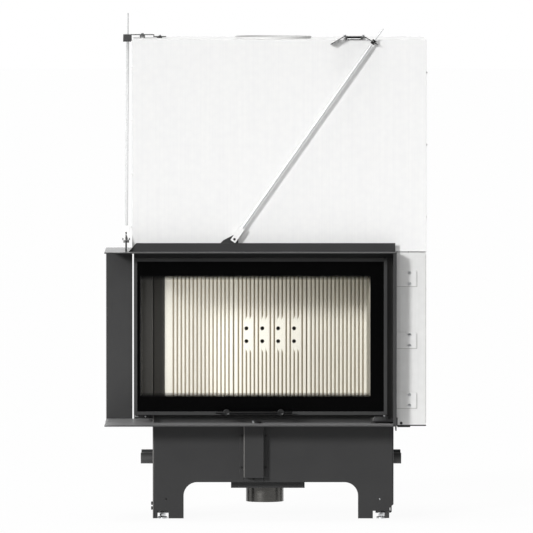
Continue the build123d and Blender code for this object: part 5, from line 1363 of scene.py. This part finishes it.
# ---- fasteners ---------------------------------------------------------------------------------
def spun(outline: Array, start: Floats, towards: Floats, turns: int = 20,
         flats: float = 0.0) -> Shape:
    """Surface of revolution about any direction, closed where its outline meets the axis.

    A point is start + r (cos t u + sin t v) + h d, with u and v across the direction d. With flats above 0
    the radius at the turn t is at most flats / cos(t to the nearest flat), which cuts six flats.

    Args:
        outline: Radius and height of each point in millimetres.
        start: Point on the axis at height 0.
        towards: Direction of growing height.
        turns: Points round the axis.
        flats: Half the width across the flats, or 0 for a round piece.

    Returns:
        Points in millimetres and quads.
    """
    d = np.array(towards, float) / np.linalg.norm(towards)
    u = np.cross(d, [0.0, 1.0, 0.0] if abs(d[1]) < 0.9 else [1.0, 0.0, 0.0])
    u /= np.linalg.norm(u)
    v = np.cross(d, u)
    t = np.linspace(0.0, math.tau, turns, endpoint=False)
    r = np.repeat(outline[:, 0:1], turns, axis=1)
    if flats > 0.0:
        to_flat = (t + math.pi / 6.0) % (math.pi / 3.0) - math.pi / 6.0
        r = np.minimum(r, flats / np.cos(to_flat)[None, :])
    around = np.cos(t)[:, None] * u + np.sin(t)[:, None] * v
    points = np.array(start, float) + r[..., None] * around[None] + outline[:, 1, None, None] * d
    return points.reshape(-1, 3), grid_quads(len(outline), turns, close_columns=True)


@dataclass
class Fasteners:
    """All bolts, nuts, screws and pins that show, each with its chamfers, washer or recess.

    Pairs of numbers for a washer, nut or head are its radius or width and its height.
    """

    base_rows: tuple[float, ...] = (-87.0, 170.0)
    base_sides: tuple[tuple[float, float, tuple[float, ...]], ...] = (
        (-371.5, -1.0, (34.0, 50.0)), (419.0, 1.0, (63.0, 79.0)))
    base_washer: tuple[float, float] = (6.3, 1.0)
    base_width: float = 11.0
    base_heads: tuple[float, float] = (2.2, 8.0)
    base_nut: float = 4.5
    base_grip: float = 7.0
    rods: tuple[tuple[tuple[float, ...], tuple[float, ...], tuple[float, ...]], ...] = (
        ((-104.0, -224.5, 931.0), (0.575989, 0.0, 0.817457), (796.03, 786.40)),
        ((-460.5, -220.0, 931.0), (0.0, 0.500572, 0.865695), (758.33, 749.21)))
    rod_nut: tuple[float, float] = (13.0, 6.0)
    tab_bolts: tuple[tuple[float, float, float], ...] = (
        (260.0, -191.0, 1599.0), (320.0, -191.0, 1599.0), (-411.0, 102.5, 1599.0), (-353.0, 102.5, 1593.0))
    tab_washer: tuple[float, float] = (5.6, 0.8)
    tab_head: tuple[float, float] = (9.0, 3.2)
    sleeve_radius: float = 8.4
    sleeve_foot: float = 1587.05
    sleeve_cut: float = 1589.65
    small_screw: tuple[float, float] = (3.5, 2.5)
    duct_face: float = -128.5
    duct_screws: tuple[tuple[float, float], ...] = (
        (-80.5, 276.0), (-80.5, 171.0), (-0.5, 276.0), (-0.5, 171.0), (-40.5, 131.5))
    apron_place: tuple[float, float, float] = (446.0, -205.0, 322.5)
    apron_screw: tuple[float, float] = (4.6, 2.5)
    plate_x: float = 473.0
    plate_face: float = -208.0
    plate_rows: tuple[float, ...] = (380.5, 416.5, 578.5, 614.5, 783.0, 819.0)
    plate_screw: tuple[float, float] = (5.6, 3.4)
    cover_y: float = -190.0
    right_face: float = 528.0
    right_screws: tuple[tuple[float, float], ...] = (
        (1478.5, 4.0), (1240.5, 4.0), (1002.5, 2.0), (764.5, 0.8), (526.5, 0.8))
    left_face: float = -441.0
    left_rows: tuple[float, ...] = (1499.0, 1323.0, 1147.0, 971.0)
    left_height: float = 4.0
    pins: tuple[tuple[tuple[float, ...], tuple[float, ...]], ...] = (
        ((-104.0, -237.0, 931.0), (0.0, 1.0, 0.0)), ((-473.0, -220.0, 931.0), (1.0, 0.0, 0.0)))

    @staticmethod
    def hexagon(start: Floats, towards: Floats, width: float, height: float, both: bool = False) -> Shape:
        """Hexagon head or nut, its corners cut back by a cone.

        Args:
            start: Middle of the inner face in millimetres.
            towards: Direction of the outer face.
            width: Width across the flats.
            height: Distance between the faces.
            both: Cuts the corners at both faces, as on a nut.

        Returns:
            Points in millimetres and quads.
        """
        flat, corner = width / 2.0, width / math.sqrt(3.0)
        cut = 0.5 * (corner - flat)
        foot = [(0.0, 0.0), (flat * 0.97, 0.0), (corner, cut)] if both else [(0.0, 0.0), (corner, 0.0)]
        outline = np.array(foot + [(corner, height - cut), (flat * 0.97, height), (0.0, height)])
        return spun(outline, start, towards, 24, flat)

    @staticmethod
    def washer(start: Floats, towards: Floats, radius: float, thick: float) -> Shape:
        """Flat washer with an eased rim."""
        rim = [(radius, 0.0), (radius, thick * 0.7), (radius - thick * 0.3, thick)]
        return spun(np.array([(0.0, 0.0), *rim, (0.0, thick)]), start, towards, 24)

    @staticmethod
    def screw(start: Floats, towards: Floats, radius: float, height: float) -> Shape:
        """Domed screw head with a round socket: r and h follow a flat dome, then drop into the socket.

        Args:
            start: Middle of the head's underside in millimetres.
            towards: Direction in which it stands out.
            radius: Radius of the head.
            height: Height of the dome.

        Returns:
            Points in millimetres and quads.
        """
        shares = np.array([(0.0, 0.0), (1.0, 0.0), (1.0, 0.3), (0.93, 0.62), (0.76, 0.88), (0.52, 1.0),
                           (0.44, 0.97), (0.4, 0.4), (0.0, 0.34)])
        return spun(shares * (radius, height), start, towards, 20)

    @staticmethod
    def pin(start: Floats, towards: Floats) -> Shape:
        """Plain pin, 8 mm thick and 25 mm long, with a groove and a chamfer at each end."""
        end = [(0.0, 0.0), (3.2, 0.0), (4.0, 0.8), (4.0, 1.4), (3.6, 1.5), (3.6, 2.3), (4.0, 2.4)]
        return spun(np.array(end + [(r, 25.0 - h) for r, h in reversed(end)]), start, towards, 24)

    def base_bolts(self) -> list[Shape]:
        """Bolts of the foot angles: high heads on washers at the front left, low ones elsewhere.

        Returns:
            Every washer, head and nut.
        """
        shapes = []
        for y in self.base_rows:
            for face, way, heights in self.base_sides:
                head = self.base_heads[way < 0.0 and y < 0.0]
                for z in heights:
                    shapes.append(self.washer((face, y, z), (way, 0.0, 0.0), *self.base_washer))
                    shapes.append(self.hexagon((face + way * self.base_washer[1], y, z), (way, 0.0, 0.0),
                                               self.base_width, head))
                    shapes.append(self.hexagon((face - way * self.base_grip, y, z), (-way, 0.0, 0.0),
                                               self.base_width, self.base_nut, True))
        return shapes

    def rod_nuts(self) -> list[Shape]:
        """Two nuts on each rod's thread, one on either side of the sloping leg."""
        return [self.hexagon(np.array(origin) + np.array(along) * s, along, *self.rod_nut, True)
                for origin, along, starts in self.rods for s in starts]

    def sleeve(self, x: float, y: float, z: float) -> Shape:
        """Straight sleeve under a tab, which ends a little below the foot of its bolt.

        Args:
            x: Place of the bolt across in millimetres.
            y: Its place in depth.
            z: Height of its foot.

        Returns:
            Points in millimetres and quads.
        """
        r, length = self.sleeve_radius, z - self.sleeve_cut
        outline = np.array([(0.0, 0.0), (r, 0.0), (r, length), (0.0, length)])
        return spun(outline, (x, y, self.sleeve_foot), UP, 24)

    def build(self, zinc: Material, black: Material, pale: Material) -> None:
        """Makes the groups of fasteners in place of the plain ones.

        Args:
            zinc: Material of the plated bolts.
            black: Material of the blackened screws, nuts and pins.
            pale: Material of the painted cover screws.
        """
        radius, thick = self.small_screw[0], self.tab_washer[1]
        groups = (
            ("base_bolts", black, self.base_bolts()),
            ("rod_nuts", black, self.rod_nuts()),
            ("tab_bolts", zinc, [self.washer(place, UP, *self.tab_washer) for place in self.tab_bolts]
             + [self.hexagon((x, y, z + thick), UP, *self.tab_head) for x, y, z in self.tab_bolts]),
            ("duct_screws", black, [self.screw((x, self.duct_face, z), FORWARD, *self.small_screw)
                                    for x, z in self.duct_screws]
             + [self.screw(self.apron_place, FORWARD, *self.apron_screw)]),
            ("plate_screws", zinc, [self.screw((self.plate_x, self.plate_face, z), FORWARD, *self.plate_screw)
                                    for z in self.plate_rows]),
            ("cover_screws", pale, [self.screw((self.right_face, self.cover_y, z), RIGHT, radius, height)
                                    for z, height in self.right_screws]
             + [self.screw((self.left_face, self.cover_y, z), LEFT, radius, self.left_height)
                for z in self.left_rows]),
            ("tab_sleeves", pale, [self.sleeve(*place) for place in self.tab_bolts]),
            ("clevis_pins", black, [self.pin(*place) for place in self.pins]),
        )
        for name, finish, shapes in groups:
            new_piece(name, joined(shapes), finish, "frame", ("fasteners",) if name == "base_bolts" else ())
        LOG.info("fasteners done")


@dataclass
class CornerShadeBar:
    """Black bar under the left end of the leaf that paints the shade of the space there, with plated screws
    on its face.
    """

    bar_x: tuple[float, float] = (-434.5, -377.0)
    bar_y: tuple[float, float] = (-178.0, -166.0)
    bar_z: tuple[float, float] = (338.5, 348.1)
    screws_x: tuple[float, ...] = (-429.0, -423.5, -398.0)
    screw_z: float = 342.6
    screw: tuple[float, float] = (2.8, 2.2)

    def build(self, black: Material, zinc: Material) -> None:
        """Makes the bar and its screws under the leaf.

        Args:
            black: Material of the bar.
            zinc: Material of the screws.
        """
        low, high = zip(self.bar_x, self.bar_y, self.bar_z)
        new_piece("corner_shade_bar", box(low, high, 2.5), black, "leaf")
        heads = [Fasteners.screw((x, self.bar_y[0], self.screw_z), FORWARD, *self.screw)
                 for x in self.screws_x]
        new_piece("corner_bar_screws", joined(heads), zinc, "leaf")
        LOG.info("corner guide done")


@dataclass
class FoldedEdges:
    """Rounded edges of the folded and laser-cut sheets, added to the CAD plates as modifiers."""

    plates: tuple[tuple[str, float], ...] = (
        ("base_front_plate", 1.2), ("air_duct_cover", 2.4), ("sill_band", 1.2), ("lower_ledge", 1.0),
        ("upper_ledge", 1.0), ("hood_plate", 1.0), ("wing_panel", 1.2), ("leaf_frame", 1.0),
        ("right_frame_plate", 1.0), ("base_side_plates", 1.0), ("upper_front_cover", 1.0),
        ("cover_brackets", 0.8), ("tie_rod_lugs", 1.0))
    weld: float = 0.00002
    segments: int = 2
    sharper_than_deg: float = 40.0

    def build(self) -> None:
        """Welds the loose triangles of each plate and rounds its edges by the given width in millimetres."""
        for name, width in self.plates:
            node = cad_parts[name]
            weld = node.modifiers.new("weld", "WELD")
            weld.merge_threshold = self.weld
            bevel = node.modifiers.new("edges", "BEVEL")
            bevel.width = width * MM
            bevel.segments = self.segments
            bevel.limit_method = "ANGLE"
            bevel.angle_limit = math.radians(self.sharper_than_deg)
            bevel.harden_normals = True
        LOG.info("edges rounded on %d plates", len(self.plates))


@dataclass
class HingeDetail:
    """Lower hinge bracket's face and painted rim highlight, its pin's washer, and a painted shade block by
    the lever.
    """

    face_low: tuple[float, float, float] = (355.5, -186.8, 328.6)
    face_high: tuple[float, float, float] = (397.0, -184.9, 341.2)
    rim: tuple[tuple[float, float, float], ...] = (
        (353.6, -185.6, 327.5), (353.6, -185.6, 335.2), (360.6, -185.6, 342.2))
    rim_radius: float = 1.3
    pin: tuple[float, float, float] = (392.0, -176.0, 343.1)
    washer_radius: float = 5.2
    washer_height: float = 4.7
    slot_shade_low: tuple[float, float, float] = (-37.0, -163.0, 318.95)
    slot_shade_high: tuple[float, float, float] = (-15.0, -157.5, 325.8)

    def build(self, paint: Material, second_tone: Material, zinc: Material,
              black: Material) -> None:
        """Makes the four small pieces.

        Args:
            paint: Material of the bracket's face.
            second_tone: Material of the painted highlight on its rim.
            zinc: Material of the washer.
            black: Material of the block that paints the slot and the shadow of the lever's pin.
        """
        new_piece("hinge_bracket_face", box(self.face_low, self.face_high, 0.7), paint, "door_carriage")
        # Painted highlight: a light rod along the bracket's curved left rim, where the light from the left
        # catches it.
        runs = [bar_between(start, end, self.rim_radius) for start, end in zip(self.rim[:-1], self.rim[1:])]
        new_piece("hinge_rim_highlight", joined(runs), second_tone, "door_carriage")
        ring = Fasteners.washer(self.pin, UP, self.washer_radius, self.washer_height)
        new_piece("hinge_washer", ring, zinc, "door_carriage")
        # Painted shade: a black block on the ledge right of the lever, for its slot and the shadow of its
        # pin.
        new_piece("lever_slot_shade", box(self.slot_shade_low, self.slot_shade_high, 1.5), black, "frame")
        LOG.info("hinge detail done")


def bar_between(start: Floats, end: Floats, radius: float) -> Shape:
    """Thin round bar with domed ends: r = R sin a and h = R (1 - cos a) over a quarter turn at each end.

    Args:
        start: Tip of the first end in millimetres.
        end: Tip of the other end.
        radius: Radius of the bar.

    Returns:
        Points in millimetres and quads.
    """
    along = np.array(end, float) - np.array(start, float)
    length = float(np.linalg.norm(along))
    a = np.linspace(0.0, QUARTER, 4)
    dome = np.stack([radius * np.sin(a), radius * (1.0 - np.cos(a))], axis=1)
    far = np.stack([dome[::-1, 0], length - dome[::-1, 1]], axis=1)
    return spun(np.concatenate([dome, far]), start, along, 12)


@dataclass
class FoldHighlights:
    """Outer folds of the front sheets as slim light rods: a painted highlight where the light from the left
    runs along them.
    """

    radius: float = 1.6
    lines: tuple[tuple[str, tuple[float, float, float], tuple[float, float, float]], ...] = (
        ("duct_cover", (-71.9, -160.9, 140.0), (-71.9, -160.9, 311.0)),
        ("base_left", (-373.1, -125.4, 3.0), (-373.1, -125.4, 314.5)),
        ("sill_left", (-371.8, -155.6, 320.0), (-371.8, -155.6, 345.0)))

    def build(self, finish: Material) -> None:
        """Makes one slim rounded fold for each line.

        Args:
            finish: Material of the painted highlight.
        """
        for name, low, high in self.lines:
            new_piece(f"fold_{name}", bar_between(low, high, self.radius), finish, "frame")
        LOG.info("worn folds done")


@dataclass
class PlateShadowLines:
    """Thin grey strips at the right edge of the lower right cover and right of and below its three plates:
    painted shade lines.
    """

    width: float = 1.6
    thick: float = 0.35
    face: float = -205.05
    cover_edge: float = 527.9
    cover_z: tuple[float, float] = (324.0, 880.0)
    plate_x: tuple[float, float] = (430.0, 497.05)
    plate_z: tuple[float, ...] = (398.5, 596.5, 801.0)
    plate_half: float = 26.55
    plate_strip: float = 48.0

    def build(self, finish: Material) -> None:
        """Makes a thin strip along the right edge of the cover, and one right of and one below each plate.

        Args:
            finish: Material of the painted shadow lines.
        """
        front = self.face - self.thick
        strips = [box((self.cover_edge - self.width, front, self.cover_z[0]),
                      (self.cover_edge, self.face, self.cover_z[1]))]
        left, right = self.plate_x
        for middle in self.plate_z:
            low = middle - self.plate_half
            strips.append(box((right, front, low - self.width),
                              (right + self.width, self.face, low + self.plate_strip)))
            strips.append(box((left, front, low - self.width), (right, self.face, low)))
        new_piece("plate_shadow_lines", joined(strips), finish, "frame")
        LOG.info("cut edges done")


# ---- the whole ---------------------------------------------------------------------------------
def corners() -> list[list[float]]:
    """Lowest and highest corner of what is shown, as plain lists."""
    return [list(map(float, c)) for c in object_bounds()]


def main() -> None:
    """Builds the studio, the finishes and the fine pieces in order."""
    logging.basicConfig(level=logging.INFO, format="%(name)s: %(message)s")
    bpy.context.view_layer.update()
    Studio().build()
    wardrobe = Wardrobe()
    wardrobe.build()
    made = wardrobe.made
    FireLining().build(made["RIBS"], made["INNER"])
    GlassBorder().build(made["PRINT"])
    DoorSeals().build(made["SEAL"])
    LiftRopes().build(made["WIRE"])
    DoorHandle().build(made["BLACK"], made["KNOB"])
    Fasteners().build(made["ZINC"], made["BLACK"], made["PALE"])
    CornerShadeBar().build(made["BLACK"], made["ZINC"])
    HingeDetail().build(made["PAINTED"], made["WORN"], made["ZINC"], made["BLACK"])
    FoldHighlights().build(made["WORN"])
    PlateShadowLines().build(made["JOINT"])
    FoldedEdges().build()


if __name__ == "__main__":
    main()
